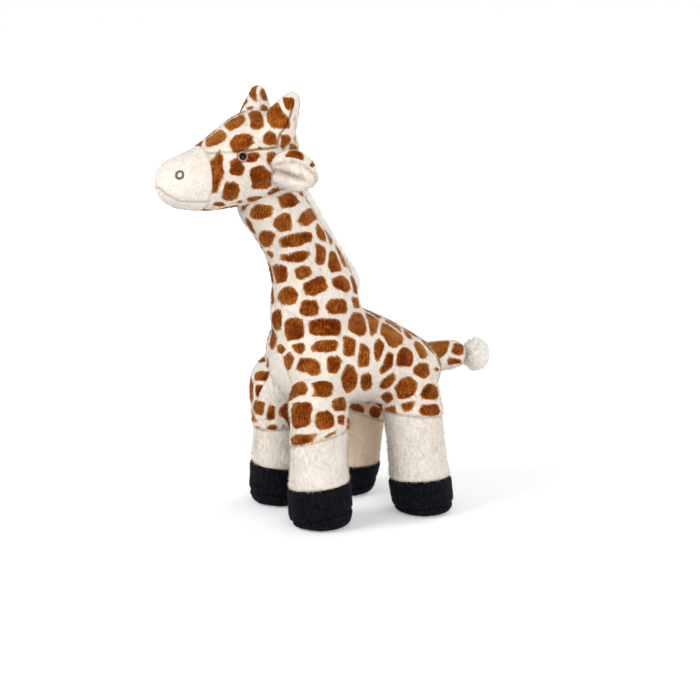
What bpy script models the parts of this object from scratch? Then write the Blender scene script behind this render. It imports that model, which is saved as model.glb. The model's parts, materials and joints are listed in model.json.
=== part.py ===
# A stuffed plush giraffe that stands on four legs. It faces -Y, its left side is at +X, and +Z is up.
# The floor is at zero height, and the origin lies on it below the middle of the toy's length.
# Lengths are in metres. A name that ends in share or shares is a fraction of the size beside it.

import math

import bmesh
import bpy
from mathutils import Vector

# Cloth and clearances. The pile cloth is thin next to the stuffing that it holds.
cloth = 0.0012
seam_gap = 0.0003
filling_gap = 0.0005
pinhole = 0.0012
smallest = 0.000005

# Body
torso_length = 0.1225
torso_width = 0.092
torso_height = 0.068
belly_height = 0.075
chest_ahead = 0.0545

# Legs. A hoof stands a little aside from the hip above it, by the splay and the stride.
leg_radius = 0.0205
hip_height = 0.086
hip_spread = 0.031
front_hip_ahead = 0.0365
hind_hip_behind = 0.0335
hoof_height = 0.030
front_sock_height = 0.033
hind_sock_height = 0.040
sole_height = 0.0065
sole_flat_radius = 0.0145
front_stride = 0.0015
hind_left_splay = 0.003
hind_left_stride = 0.0100
hind_right_splay = 0.001
hind_right_stride = -0.0180
leg_swing = math.radians(12)

# Neck, which leans forward over a bend above the chest
neck_ahead = 0.022
neck_base_sunk = 0.011
neck_length = 0.088
neck_base_radius = 0.031
neck_top_radius = 0.0212
neck_lean = math.radians(32)
neck_bend = math.radians(8)

# Head
head_length = 0.1005
head_height = 0.064
head_width = 0.054
head_behind = 0.0150
jaw_below = 0.0025
head_nod = math.radians(12)
crown_seam_rise = 0.0405

# Horns
horn_radius = 0.0105
horn_length = 0.037
horn_spread_share = 0.306
horn_lean_out = math.radians(20)
horn_lean_back = math.radians(16)
horn_tip_radius = 0.0036

# Ears
ear_length = 0.0265
ear_width = 0.027
ear_cup = 0.0028
ear_swept_back = math.radians(33)
ear_flap = math.radians(20)

# Eyes, which are moulded studs held by a washer inside the head
eye_radius = 0.0037
eye_dome = 0.0026
eye_stem_radius = 0.0015
eye_stem_length = 0.0062
washer_radius = 0.0052
washer_thickness = 0.0010

# Nostrils, each one ring of embroidery thread
nostril_radius = 0.0029
nostril_thread_radius = 0.0006

# Mane and tail
mane_width = 0.0046
mane_pile = 0.0042
tail_inset = 0.004
tail_height = 0.0970
tail_length = 0.031
tail_root_radius = 0.0090
tail_end_radius = 0.0094
tail_swing = math.radians(30)
tuft_length = 0.020
tuft_radius = 0.0118

# Sections around each form, which are even numbers
torso_sides = 24
neck_sides = 16
head_sides = 24
leg_sides = 12
small_sides = 12
hip_socket_sides = 18
neck_socket_sides = 22
tail_socket_sides = 12

# The colour, roughness and metallic value of each material
finishes = {
    "cream_plush": ((0.86, 0.78, 0.66), 0.95, 0.0),
    "spotted_plush": ((0.36, 0.13, 0.03), 0.95, 0.0),
    "white_pile": ((0.84, 0.80, 0.74), 0.97, 0.0),
    "black_plush": ((0.008, 0.008, 0.011), 0.92, 0.0),
    "filling_fibre": ((0.78, 0.78, 0.76), 0.98, 0.0),
    "eye_plastic": ((0.006, 0.005, 0.005), 0.12, 0.0),
    "washer_plastic": ((0.62, 0.62, 0.60), 0.45, 0.0),
    "brown_thread": ((0.17, 0.06, 0.04), 0.70, 0.0),
}

up = Vector((0, 0, 1))
ahead = Vector((0, -1, 0))
leftward = Vector((1, 0, 0))


# Scene, materials and objects


def clear_scene():
    for old in list(bpy.data.objects):
        bpy.data.objects.remove(old)


def new_collection(name):
    collection = bpy.data.collections.new(name)
    bpy.context.scene.collection.children.link(collection)
    return collection


def material(name):
    found = bpy.data.materials.get(name)
    if found:
        return found
    colour, roughness, metallic = finishes[name]
    made = bpy.data.materials.new(name)
    made.use_nodes = True
    made.diffuse_color = (*colour, 1)
    principled = made.node_tree.nodes["Principled BSDF"]
    principled.inputs["Base Color"].default_value = (*colour, 1)
    principled.inputs["Roughness"].default_value = roughness
    principled.inputs["Metallic"].default_value = metallic
    return made


# An empty stands on each joint, and each piece hangs from the empty of the body that it moves with.
def joint_empty(name, place, parent=None):
    empty = bpy.data.objects.new(name, None)
    parts.objects.link(empty)
    empty.empty_display_size = cloth
    empty["place"] = place
    empty.parent = parent
    empty.location = place - (Vector(parent["place"]) if parent else Vector())
    return empty


def add_object(name, bm, finish, body):
    bmesh.ops.remove_doubles(bm, verts=bm.verts, dist=smallest)
    bmesh.ops.recalc_face_normals(bm, faces=bm.faces)
    place = Vector(body["place"])
    bmesh.ops.translate(bm, verts=bm.verts, vec=-place)
    mesh = bpy.data.meshes.new(name)
    bm.to_mesh(mesh)
    bm.free()
    mesh.shade_smooth()
    mesh.set_sharp_from_angle(angle=math.radians(45))
    mesh.materials.append(material(finish))
    thing = bpy.data.objects.new(name, mesh)
    parts.objects.link(thing)
    thing.parent = body
    return thing


def add_cutter(name, bm):
    bmesh.ops.remove_doubles(bm, verts=bm.verts, dist=smallest)
    bmesh.ops.recalc_face_normals(bm, faces=bm.faces)
    mesh = bpy.data.meshes.new(name)
    bm.to_mesh(mesh)
    bm.free()
    cutter = bpy.data.objects.new(name, mesh)
    cutters.objects.link(cutter)
    cutter.hide_render = True
    cutter.display_type = "WIRE"
    cutter.parent = origin
    return cutter


def cut(thing, *tools):
    for tool in tools:
        boolean = thing.modifiers.new("cut by " + tool.name, "BOOLEAN")
        boolean.operation = "DIFFERENCE"
        boolean.object = tool
    return thing


# Forms. A ring is one cross-section: its centre, its half width across the toy and its half depth.
# Column angle zero points along the ring's width, and a right angle points along its depth.


class Ring:
    def __init__(self, centre, across, deep, angles, pinched=False):
        self.centre = centre
        self.across = across
        self.deep = deep
        self.angles = angles
        self.pinched = pinched

    def point(self, column):
        angle = self.angles[column % len(self.angles)]
        return self.centre + self.across * math.cos(angle) + self.deep * math.sin(angle)

    def tangent(self, column):
        angle = self.angles[column % len(self.angles)]
        return (self.deep * math.cos(angle) - self.across * math.sin(angle)).normalized()


def even_angles(sides):
    return [math.tau * side / sides - math.pi / 2 for side in range(sides)]


# A point of a form, some way in from its surface, moved a little along the ring or along the form
def form_point(rings, row, column, depth=0.0, aside=0.0, along=0.0):
    ring = rings[row]
    before = rings[max(row - 1, 0)]
    after = rings[min(row + 1, len(rings) - 1)]
    if ring.across.length < smallest:
        way = (before.centre - after.centre).normalized()
        outward = -way if row else way
        return ring.centre - outward * depth
    slope = (after.point(column) - before.point(column)).normalized()
    outward = ring.tangent(column).cross(slope).normalized()
    if outward.dot(ring.point(column) - ring.centre) < 0:
        outward = -outward
    shift = ring.tangent(column) * aside + slope * along
    return ring.point(column) - outward * depth + shift


# Rows of points joined by triangles, split alike in every layer so that the layers stay parallel
def add_faces(bm, rows, wrap):
    grid = [[bm.verts.new(point) for point in row] for row in rows]
    for near, far in zip(grid, grid[1:]):
        count = len(near)
        for column in range(count if wrap else count - 1):
            beside = (column + 1) % count
            bm.faces.new((near[column], near[beside], far[beside]))
            bm.faces.new((near[column], far[beside], far[column]))
    return grid


def add_rim(bm, outer, inner):
    for first, second, third, fourth in zip(outer, outer[1:], inner[1:], inner):
        bm.faces.new((first, second, third, fourth))


# A sheet of cloth between two layers of points. It closes on itself where wrap is true.
def cloth_sheet(outer_rows, inner_rows, wrap=False, closed_start=False, closed_end=False):
    bm = bmesh.new()
    outer = add_faces(bm, outer_rows, wrap)
    inner = add_faces(bm, inner_rows, wrap)
    loop = (lambda row: row + row[:1]) if wrap else (lambda row: row)
    if not closed_start:
        add_rim(bm, loop(outer[0]), loop(inner[0]))
    if not closed_end:
        add_rim(bm, loop(outer[-1]), loop(inner[-1]))
    if not wrap:
        add_rim(bm, [row[0] for row in outer], [row[0] for row in inner])
        add_rim(bm, [row[-1] for row in outer], [row[-1] for row in inner])
    return bm


# One panel of a form's cover, from one row and column to another, half a seam gap inside its edges
def panel(rings, first_row, last_row, first_column, last_column):
    def layer(depth):
        rows = []
        for row in range(first_row, last_row + 1):
            along = seam_gap / 2 * ((row == first_row) - (row == last_row))
            line = []
            for column in range(first_column, last_column + 1):
                aside = seam_gap / 2 * ((column == first_column) - (column == last_column))
                line.append(form_point(rings, row, column, depth, aside, along))
            rows.append(line)
        return rows

    return cloth_sheet(layer(0), layer(cloth))


# A band of cover that goes all the way round. It closes over the form's end where the last ring is a point.
def band(rings, first_row, last_row):
    sides = len(rings[first_row].angles)
    ends_in_point = rings[last_row].across.length < smallest

    def layer(depth):
        rows = []
        for row in range(first_row, last_row + 1):
            along = seam_gap / 2 * ((row == first_row) - (row == last_row and not ends_in_point))
            rows.append([form_point(rings, row, column, depth, 0, along) for column in range(sides)])
        return rows

    return cloth_sheet(layer(0), layer(cloth), wrap=True, closed_end=ends_in_point)


# The whole of a form as one solid, in from its surface by depth, or out where depth is negative
def solid(rings, depth):
    bm = bmesh.new()
    sides = len(rings[0].angles)
    rows = []
    for row, ring in enumerate(rings):
        if not ring.pinched:
            rows.append([form_point(rings, row, column, depth) for column in range(sides)])
    grid = add_faces(bm, rows, wrap=True)
    for end in (0, -1):
        if rings[end].across.length > smallest:
            bm.faces.new(grid[end])
    return bm


def filling(rings):
    return solid(rings, cloth + filling_gap)


# The room that a round limb takes as it swings about its joint, cut out of what it is sewn to.
# The limb ends in a dome about the joint, runs along limb_way, and turns about axis.
def socket(name, centre, limb_way, axis, radius, swing, length, sides, tilt=0.0):
    side_way = limb_way.cross(axis).normalized()
    rise_steps = sides // 3
    room = (radius + seam_gap) / math.cos(math.pi / sides) / math.cos(math.pi / 4 / rise_steps)
    heights = [room * math.sin(math.pi / 2 * step / rise_steps) for step in range(rise_steps, 0, -1)]
    heights += [0.0, -length]

    def reach(across, height, angle):
        half = math.sqrt(max(room**2 - across**2, 0))
        if height < half * math.sin(angle):
            return (half - height * math.sin(angle)) / math.cos(angle)
        return math.sqrt(max(half**2 - height**2, 0))

    rows = []
    for height in heights:
        widest = math.sqrt(room**2 - max(height, 0) ** 2)
        row = []
        for side in range(sides):
            angle = math.tau * (side + 0.5) / sides
            across = widest * math.cos(angle)
            sense = 1 if math.sin(angle) > 0 else -1
            out = sense * reach(across, height, max(swing + sense * tilt, 0))
            row.append(centre + axis * across + side_way * out - limb_way * height)
        rows.append(row)
    bm = bmesh.new()
    grid = add_faces(bm, rows, wrap=True)
    bm.faces.new(grid[-1])
    return add_cutter(name, bm)


# Rings of a dome about a centre, from its top down to just above its widest ring
def dome_rings(centre, top_way, across, deep, angles, steps):
    rings = []
    for step in range(steps + 1):
        rise = math.pi / 2 * (1 - step / (steps + 1))
        flat = math.cos(rise) if step else 0.0
        middle = centre + top_way * across.length * math.sin(rise)
        rings.append(Ring(middle, across * flat, deep * flat, angles))
    return rings


# Body

# Place along the length, lower edge and upper edge over the height, and width, from chest to rump
torso_shares = [
    (0.0, 0.52, 0.52, 0.0),
    (0.001, 0.51, 0.53, 0.0),
    (0.035, 0.18, 0.82, 0.53),
    (0.115, 0.04, 0.95, 0.80),
    (0.25, 0.0, 1.0, 0.95),
    (0.41, 0.0, 1.0, 1.0),
    (0.57, -0.01, 0.93, 1.0),
    (0.73, -0.01, 0.78, 0.96),
    (0.87, 0.03, 0.62, 0.82),
    (0.965, 0.11, 0.48, 0.53),
    (0.999, 0.285, 0.305, 0.0),
    (1.0, 0.295, 0.295, 0.0),
]
belly_columns = 3


def torso_rings():
    angles = even_angles(torso_sides)
    rings = []
    last = len(torso_shares) - 1
    for index, (along, low, high, wide) in enumerate(torso_shares):
        centre = ahead * (chest_ahead - along * torso_length)
        centre = centre + up * (belly_height + (low + high) / 2 * torso_height)
        half_width = wide * torso_width / 2
        half_height = (high - low) / 2 * torso_height
        pinched = index in (1, last - 1)
        if pinched:
            half_width = half_height = pinhole
        rings.append(Ring(centre, leftward * half_width, up * half_height, angles, pinched))
    return rings


def build_torso(body, sockets):
    rings = torso_rings()
    first = 1
    last = len(rings) - 2
    half = torso_sides // 2
    pieces = {
        "side_panel_left": ("spotted_plush", panel(rings, first, last, belly_columns, half)),
        "side_panel_right": ("spotted_plush", panel(rings, first, last, half, torso_sides - belly_columns)),
        "belly_panel": ("cream_plush", panel(rings, first, last, -belly_columns, belly_columns)),
        "torso_filling": ("filling_fibre", filling(rings)),
    }
    for name, (finish, bm) in pieces.items():
        cut(add_object(name, bm, finish, body), *sockets)


# Legs

# Radii over the leg's radius, and heights over the hoof's or the sole's height
sock_radius_share = 0.93
hoof_seam_radius_share = 0.975
hoof_radius_share = 1.015
hoof_widest_shares = (0.72, 0.4)
sole_curve_share = 0.35
sole_curve_radius_share = 0.93

# Side, place of the hip along the body, height of the sock, splay and stride
legs = {
    "front_left": (1, -front_hip_ahead, front_sock_height, 0.0, front_stride),
    "front_right": (-1, -front_hip_ahead, front_sock_height, 0.0, front_stride),
    "hind_left": (1, hind_hip_behind, hind_sock_height, hind_left_splay, hind_left_stride),
    "hind_right": (-1, hind_hip_behind, hind_sock_height, hind_right_splay, hind_right_stride),
}


def hip_place(leg):
    side, back, _, _, _ = legs[leg]
    return Vector((side * hip_spread, back, hip_height))


def leg_rings(leg):
    side, back, sock_height, splay, stride = legs[leg]
    angles = even_angles(leg_sides)
    across = leftward * leg_radius
    deep = -ahead * leg_radius
    hip = hip_place(leg)
    rings = dome_rings(hip, up, across, deep, angles, 3)
    sock_top = hoof_height + sock_height
    heights = [(hip_height, 1.0), ((hip_height + sock_top) / 2, 1.0)]
    heights += [(sock_top, sock_radius_share), (hoof_height + sock_height / 2, sock_radius_share)]
    heights += [(hoof_height, hoof_seam_radius_share)]
    heights += [(hoof_height * rise, hoof_radius_share) for rise in hoof_widest_shares]
    heights += [(sole_height, 1.0), (sole_height * sole_curve_share, sole_curve_radius_share)]
    heights += [(0.0, sole_flat_radius / leg_radius)]
    for height, share in heights:
        lean = 1 - max(height, sole_height) / hip_height
        centre = Vector((hip.x + side * splay * lean, back + stride * lean, height))
        rings.append(Ring(centre, across * share, deep * share, angles))
    return rings


# Rows of the leg's rings where one piece of its cover meets the next
leg_dome_row = 1
leg_sock_row = 6
leg_hoof_row = 8
leg_sole_row = 11


def build_leg(leg, body):
    side = legs[leg][0]
    rings = leg_rings(leg)
    last = len(rings) - 1
    half = leg_sides // 2
    quarters = {"outer": (0, half), "inner": (half, leg_sides)}
    if side < 0:
        quarters = {"outer": (half, leg_sides), "inner": (0, half)}
    name = "leg_" + leg
    for place, (first, second) in quarters.items():
        sleeve = panel(rings, leg_dome_row, leg_sock_row, first, second)
        add_object(f"{name}_{place}_sleeve", sleeve, "spotted_plush", body)
    add_object(f"{name}_sock", band(rings, leg_sock_row, leg_hoof_row), "cream_plush", body)
    add_object(f"{name}_hoof", band(rings, leg_hoof_row, leg_sole_row), "black_plush", body)
    add_object(f"{name}_sole", sole_sheet(rings, last), "black_plush", body)
    add_object(f"{name}_filling", filling(rings), "filling_fibre", body)


# The sole closes the hoof from below, and its flat middle is what the leg stands on.
def sole_sheet(rings, last):
    middle = Ring(rings[last].centre, Vector(), Vector(), rings[last].angles)
    rows = rings[: last + 1] + [middle]

    def layer(depth):
        made = []
        for row in range(leg_sole_row, last + 1):
            along = seam_gap / 2 * (row == leg_sole_row)
            made.append([form_point(rows, row, column, depth, 0, along) for column in range(leg_sides)])
        made[-1] = [Vector((point.x, point.y, depth)) for point in made[-1]]
        made.append([middle.centre + up * depth] * leg_sides)
        return made

    return cloth_sheet(layer(0), layer(cloth), wrap=True, closed_end=True)


# Neck

# Distance up the neck over its length, how much of the lean is reached, and radius between base and top
neck_shares = [
    (0.0, 0.0, 0.0),
    (0.15, 0.0, 0.10),
    (0.30, 0.18, 0.33),
    (0.47, 0.70, 0.62),
    (0.65, 1.0, 0.90),
    (0.83, 1.0, 0.97),
    (1.0, 1.0, 1.0),
]


def neck_path():
    place = Vector((0, -neck_ahead, belly_height + torso_height - neck_base_sunk))
    stations = []
    reached = 0.0
    way = up
    for along, leaned, slimmed in neck_shares:
        way = up * math.cos(neck_lean * leaned) + ahead * math.sin(neck_lean * leaned)
        place = place + way * (along - reached) * neck_length
        reached = along
        radius = neck_base_radius + (neck_top_radius - neck_base_radius) * slimmed
        stations.append((place, way, radius))
    return stations


def neck_rings():
    angles = even_angles(neck_sides)
    stations = neck_path()
    base, base_way, base_radius = stations[0]
    top, top_way, top_radius = stations[-1]
    rings = dome_rings(base, -base_way, leftward * base_radius, -ahead * base_radius, angles, 3)
    for place, way, radius in stations:
        rings.append(Ring(place, leftward * radius, way.cross(leftward) * radius, angles))
    top_deep = top_way.cross(leftward) * top_radius
    rings += dome_rings(top, top_way, leftward * top_radius, top_deep, angles, 3)[::-1]
    return rings


def build_neck(body):
    rings = neck_rings()
    half = neck_sides // 2
    first = 2
    last = len(rings) - 3
    pieces = {
        "neck_panel_left": ("spotted_plush", panel(rings, first, last, 0, half)),
        "neck_panel_right": ("spotted_plush", panel(rings, first, last, half, neck_sides)),
        "neck_filling": ("filling_fibre", filling(rings)),
        "mane_neck": ("white_pile", mane_strip(rings, range(6, 11), half)),
    }
    for name, (finish, bm) in pieces.items():
        add_object(name, bm, finish, body)


# A narrow strip of long pile that stands on the back seam of a form and fades out at both its ends
def mane_strip(rings, rows, column):
    outer = []
    inner = []
    rows = list(rows)
    for row in rows:
        foot = form_point(rings, row, column, -seam_gap)
        crest = form_point(rings, row, column, -mane_pile)
        rise = crest - foot
        if row in (rows[0], rows[-1]):
            rise = rise / 2
        half_width = leftward * mane_width / 2
        outer.append([foot - half_width + rise / 2, foot + rise, foot + half_width + rise / 2])
        inner.append([foot - half_width, foot, foot + half_width])
    return cloth_sheet(outer, inner)


# Head

# Place along the length from back to nose, jaw and crown over the height, width, and the share of the
# height above the jaw line that the seam beside the crown has reached
head_shares = [
    (0.0, 0.54, 0.54, 0.0),
    (0.001, 0.53, 0.55, 0.0),
    (0.018, 0.36, 0.72, 0.42),
    (0.06, 0.19, 0.83, 0.70),
    (0.14, 0.10, 0.93, 0.90),
    (0.255, 0.05, 1.0, 1.0),
    (0.39, 0.03, 0.99, 1.0),
    (0.515, 0.015, 0.855, 0.965),
    (0.63, 0.0, 0.715, 0.90),
    (0.725, 0.0, 0.645, 0.83),
    (0.835, 0.025, 0.575, 0.76),
    (0.92, 0.07, 0.53, 0.61),
    (0.975, 0.15, 0.465, 0.41),
    (0.999, 0.30, 0.32, 0.0),
    (1.0, 0.31, 0.31, 0.0),
]
head_crown_columns = 3
head_chin_columns = 3
muzzle_row = 9
eye_along_share = 0.483
nostril_along_share = 0.880
steepest_crown_seam = math.radians(65)
flattest_crown_seam = math.radians(13)


# Columns crowd together so that one of them follows the seam between cheek and crown.
def head_angles(seam):
    quarter = head_sides // 2
    cheek = quarter - head_crown_columns
    right_angle = math.pi / 2
    left = [-right_angle + (right_angle + seam) * step / cheek for step in range(cheek)]
    top = [seam + (right_angle - seam) * step / head_crown_columns for step in range(head_crown_columns)]
    rising = left + top
    falling = [math.pi - angle for angle in rising[1:]][::-1]
    return rising + [right_angle] + falling


def head_origin():
    top, _, _ = neck_path()[-1]
    return top - ahead * head_behind + up * jaw_below


def head_rings():
    start = head_origin()
    rings = []
    last = len(head_shares) - 1
    for index, (along, low, high, wide) in enumerate(head_shares):
        centre = start + ahead * along * head_length + up * (low + high) / 2 * head_height
        half_width = wide * head_width / 2
        half_height = (high - low) / 2 * head_height
        pinched = index in (1, last - 1)
        if pinched:
            half_width = half_height = pinhole
        rise = start.z + crown_seam_rise - centre.z
        seam = math.asin(min(max(rise / max(half_height, pinhole), -1), 1))
        seam = min(max(seam, flattest_crown_seam), steepest_crown_seam)
        across = leftward * half_width
        rings.append(Ring(centre, across, up * half_height, head_angles(seam), pinched))
    return rings


# A place on one ring of the head, with the way that points straight out of it there
def ring_surface(rings, row, angle, side):
    ring = rings[row]
    here = ring.centre + ring.across * side * math.cos(angle) + ring.deep * math.sin(angle)
    nearest = min(range(head_sides), key=lambda column: (ring.point(column) - here).length)
    outward = (ring.point(nearest) - form_point(rings, row, nearest, cloth)).normalized()
    return here, outward


# The same anywhere along the head, as a share of its length
def head_surface(rings, along_share, angle, side):
    row = next(index for index, shares in enumerate(head_shares) if shares[0] >= along_share)
    behind, before = head_shares[row - 1][0], head_shares[row][0]
    reach = (along_share - behind) / (before - behind)
    first, first_way = ring_surface(rings, row - 1, angle, side)
    second, second_way = ring_surface(rings, row, angle, side)
    return first.lerp(second, reach), first_way.lerp(second_way, reach).normalized()


def turned(profile, sides):
    bm = bmesh.new()
    verts = [bm.verts.new((radius, 0, height)) for radius, height in profile]
    edges = [bm.edges.new(pair) for pair in zip(verts, verts[1:])]
    bmesh.ops.spin(
        bm, geom=verts + edges, cent=(0, 0, 0), axis=(0, 0, 1), angle=math.tau, steps=sides, use_merge=True
    )
    bmesh.ops.remove_doubles(bm, verts=bm.verts, dist=smallest)
    return bm


def stand_on(bm, place, outward):
    turn = outward.to_track_quat("Z", "Y").to_matrix().to_4x4()
    bmesh.ops.transform(bm, matrix=turn, verts=bm.verts)
    bmesh.ops.translate(bm, verts=bm.verts, vec=place)
    return bm


def rod(radius, low, high, sides=small_sides):
    return turned([(0, low), (radius, low), (radius, high), (0, high)], sides)


washer_seat_share = 2.4
eye_angle = math.radians(15.5)
nostril_angle = math.radians(29)


def eye_stud():
    curve_steps = 4
    profile = [(0, -eye_stem_length), (eye_stem_radius, -eye_stem_length), (eye_stem_radius, 0)]
    for step in range(curve_steps + 1):
        angle = math.pi / 2 * step / curve_steps
        profile.append((eye_radius * math.cos(angle), eye_dome * math.sin(angle)))
    return turned(profile, small_sides)


def build_eyes(rings, body):
    hollow = washer_radius**2 / head_width
    seat = seam_gap + hollow / 2
    washer_top = -(cloth + seam_gap + washer_seat_share * hollow)
    washer_foot = washer_top - washer_thickness
    bore = eye_stem_radius + seam_gap
    tools = []
    for side, word in ((1, "left"), (-1, "right")):
        place, outward = head_surface(rings, eye_along_share, eye_angle, side)
        stud = stand_on(eye_stud(), place + outward * seat, outward)
        add_object(f"eye_{word}", stud, "eye_plastic", body)
        outline = [(bore, washer_top), (washer_radius, washer_top)]
        outline += [(washer_radius, washer_foot), (bore, washer_foot), (bore, washer_top)]
        washer = stand_on(turned(outline, small_sides), place, outward)
        add_object(f"eye_washer_{word}", washer, "washer_plastic", body)
        hole = stand_on(rod(bore, -eye_stem_length - seam_gap, eye_dome), place, outward)
        wide = washer_radius + seam_gap
        stem_end = -eye_stem_length - seam_gap
        outline = [(0, stem_end), (bore, stem_end), (bore, washer_foot - seam_gap)]
        outline += [(wide, washer_foot - seam_gap), (wide, eye_dome), (0, eye_dome)]
        pocket = stand_on(turned(outline, small_sides), place, outward)
        tools.append((add_cutter(f"eye_hole_{word}", hole), add_cutter(f"washer_pocket_{word}", pocket)))
    return tools


def build_nostrils(rings, body):
    for side, word in ((1, "left"), (-1, "right")):
        place, outward = head_surface(rings, nostril_along_share, nostril_angle, side)
        lift = nostril_thread_radius + seam_gap
        bm = ring_of_thread(nostril_radius, nostril_thread_radius)
        stand_on(bm, place + outward * lift, outward)
        add_object(f"nostril_{word}", bm, "brown_thread", body)


def ring_of_thread(radius, thread):
    steps = small_sides // 2
    outline = []
    for step in range(steps + 1):
        angle = math.tau * step / steps
        outline.append((radius + thread * math.cos(angle), thread * math.sin(angle)))
    return turned(outline, small_sides)


# Height along the horn over its length, and radius, from deep in the head to just below the tip
horn_shares = [(0.0, 1.0), (0.3, 0.95), (0.55, 0.75), (0.78, 0.52)]
horn_ahead_share = 0.236
horn_foot_share = 0.68


def horn_rings(side):
    start = head_origin()
    foot = start + ahead * horn_ahead_share * head_length + up * horn_foot_share * head_height
    foot = foot + leftward * side * horn_spread_share * head_width
    way = up + leftward * side * math.tan(horn_lean_out) - ahead * math.tan(horn_lean_back)
    way.normalize()
    deep = way.cross(leftward).normalized()
    across = deep.cross(way).normalized()
    angles = even_angles(small_sides)
    rings = []
    for along, share in horn_shares:
        radius = horn_radius * share
        rings.append(Ring(foot + way * along * horn_length, across * radius, deep * radius, angles))
    tip_centre = foot + way * (horn_length - horn_tip_radius)
    tip = dome_rings(tip_centre, way, across * horn_tip_radius, deep * horn_tip_radius, angles, 1)
    return rings + tip[::-1]


def build_horns(body, head_room):
    for side, word in ((1, "left"), (-1, "right")):
        rings = horn_rings(side)
        cover = band(rings, 0, len(rings) - 1)
        cut(add_object(f"horn_{word}", cover, "spotted_plush", body), head_room)
        cut(add_object(f"horn_{word}_filling", filling(rings), "filling_fibre", body), head_room)


def build_head(body, neck_socket):
    rings = head_rings()
    first = 1
    last = len(rings) - 2
    half = head_sides // 2
    seam = half - head_crown_columns
    chin = head_chin_columns
    tools = build_eyes(rings, body)
    holes = [pair[0] for pair in tools]
    pockets = [pair[1] for pair in tools]
    pieces = {
        "crown_panel": ("spotted_plush", panel(rings, first, muzzle_row, seam, head_sides - seam)),
        "cheek_left": ("spotted_plush", panel(rings, first, muzzle_row, 0, seam)),
        "cheek_right": ("spotted_plush", panel(rings, first, muzzle_row, head_sides - seam, head_sides)),
        "muzzle_panel": ("cream_plush", panel(rings, muzzle_row, last, chin, head_sides - chin)),
        "chin_panel": ("cream_plush", panel(rings, muzzle_row, last, -chin, chin)),
    }
    for name, (finish, bm) in pieces.items():
        thing = add_object(name, bm, finish, body)
        if name.startswith(("crown", "cheek")):
            cut(thing, neck_socket)
        if name.startswith("cheek"):
            cut(thing, *holes)
    cut(add_object("head_filling", filling(rings), "filling_fibre", body), neck_socket, *pockets)
    add_object("mane_head", mane_strip(rings, range(1, 5), half), "white_pile", body)
    build_nostrils(rings, body)
    head_room = add_cutter("head_room", solid(rings, -seam_gap))
    build_horns(body, head_room)


# Ears

# Distance out from the root over the ear's length, and width over its widest, for a rounded leaf
ear_shares = [
    (0.0, 0.56),
    (0.16, 0.80),
    (0.38, 0.99),
    (0.60, 0.98),
    (0.80, 0.76),
    (0.93, 0.46),
    (1.0, 0.16),
]
ear_row = 5
ear_root_angle = math.radians(-15)
ear_columns = 4


def ear_frame(side):
    rings = head_rings()
    ring = rings[ear_row]
    flank = ring.centre + ring.across * side + ring.deep * math.sin(ear_root_angle)
    layered = cloth + seam_gap / 2
    clearance = seam_gap + layered * math.sin(ear_swept_back + ear_flap)
    root = flank + leftward * side * clearance
    out = leftward * side * math.cos(ear_swept_back) - ahead * math.sin(ear_swept_back)
    return root, out


def ear_sheet(side, front):
    root, out = ear_frame(side)
    face = ahead * math.cos(ear_swept_back) + leftward * side * math.sin(ear_swept_back)
    near = face * seam_gap / 2 if front else -face * (seam_gap / 2 + cloth)

    def layer(depth):
        rows = []
        for along, wide in ear_shares:
            row = []
            for column in range(ear_columns + 1):
                aside = (column / ear_columns - 0.5) * wide
                cupped = face * ear_cup * math.sin(math.pi * along) * (4 * aside**2 - 1)
                place = root + out * along * ear_length + up * aside * ear_width
                row.append(place + cupped + near + face * depth)
            rows.append(row)
        return rows

    return cloth_sheet(layer(cloth), layer(0))


def build_ear(side, word, body):
    add_object(f"ear_{word}_front", ear_sheet(side, True), "cream_plush", body)
    add_object(f"ear_{word}_back", ear_sheet(side, False), "spotted_plush", body)


# Tail


def tail_place():
    rump = torso_length - chest_ahead
    return Vector((0, rump - tail_inset, tail_height))


def tail_rings():
    angles = even_angles(small_sides)
    behind = -ahead
    root = tail_place()
    across = leftward * tail_root_radius
    rings = dome_rings(root, ahead, across, up * tail_root_radius, angles, 2)
    steps = 3
    for step in range(steps + 1):
        radius = tail_root_radius + (tail_end_radius - tail_root_radius) * step / steps
        centre = root + behind * tail_length * step / steps
        rings.append(Ring(centre, leftward * radius, up * radius, angles))
    return rings


# Distance back over the length, and radius, for the tuft of long pile
tuft_shares = [(0.0, 0.0), (0.0, 0.62), (0.18, 0.90), (0.42, 1.0), (0.68, 0.90), (0.90, 0.55), (1.0, 0.0)]


def tuft_rings():
    angles = even_angles(small_sides)
    foot = tail_place() - ahead * (tail_length + seam_gap)
    rings = []
    for along, share in tuft_shares:
        radius = tuft_radius * share
        rings.append(Ring(foot - ahead * along * tuft_length, leftward * radius, up * radius, angles))
    return rings


def build_tail(body):
    rings = tail_rings()
    cover_row = 1
    add_object("tail_cover", band(rings, cover_row, len(rings) - 1), "spotted_plush", body)
    add_object("tail_filling", filling(rings), "filling_fibre", body)
    add_object("tail_tuft", solid(tuft_rings(), 0), "white_pile", body)


# Assembly


def hip_sockets():
    tools = []
    for leg, (_, _, _, _, stride) in legs.items():
        reach = hip_height - belly_height + leg_radius
        tilt = -math.atan2(stride, hip_height)
        name = f"hip_socket_{leg}"
        sides = hip_socket_sides
        hip = hip_place(leg)
        tools.append(socket(name, hip, -up, leftward, leg_radius, leg_swing, reach, sides, tilt))
    return tools


def neck_base_socket():
    base, way, radius = neck_path()[0]
    reach = torso_height
    return socket("neck_base_socket", base, way, leftward, radius, neck_bend, reach, neck_socket_sides)


def neck_top_socket():
    top, way, radius = neck_path()[-1]
    return socket("neck_top_socket", top, -way, leftward, radius, head_nod, head_height, neck_socket_sides)


def tail_socket():
    root = tail_place()
    radius = tail_root_radius
    return socket("tail_socket", root, -ahead, up, radius, tail_swing, tail_length, tail_socket_sides)


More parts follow.
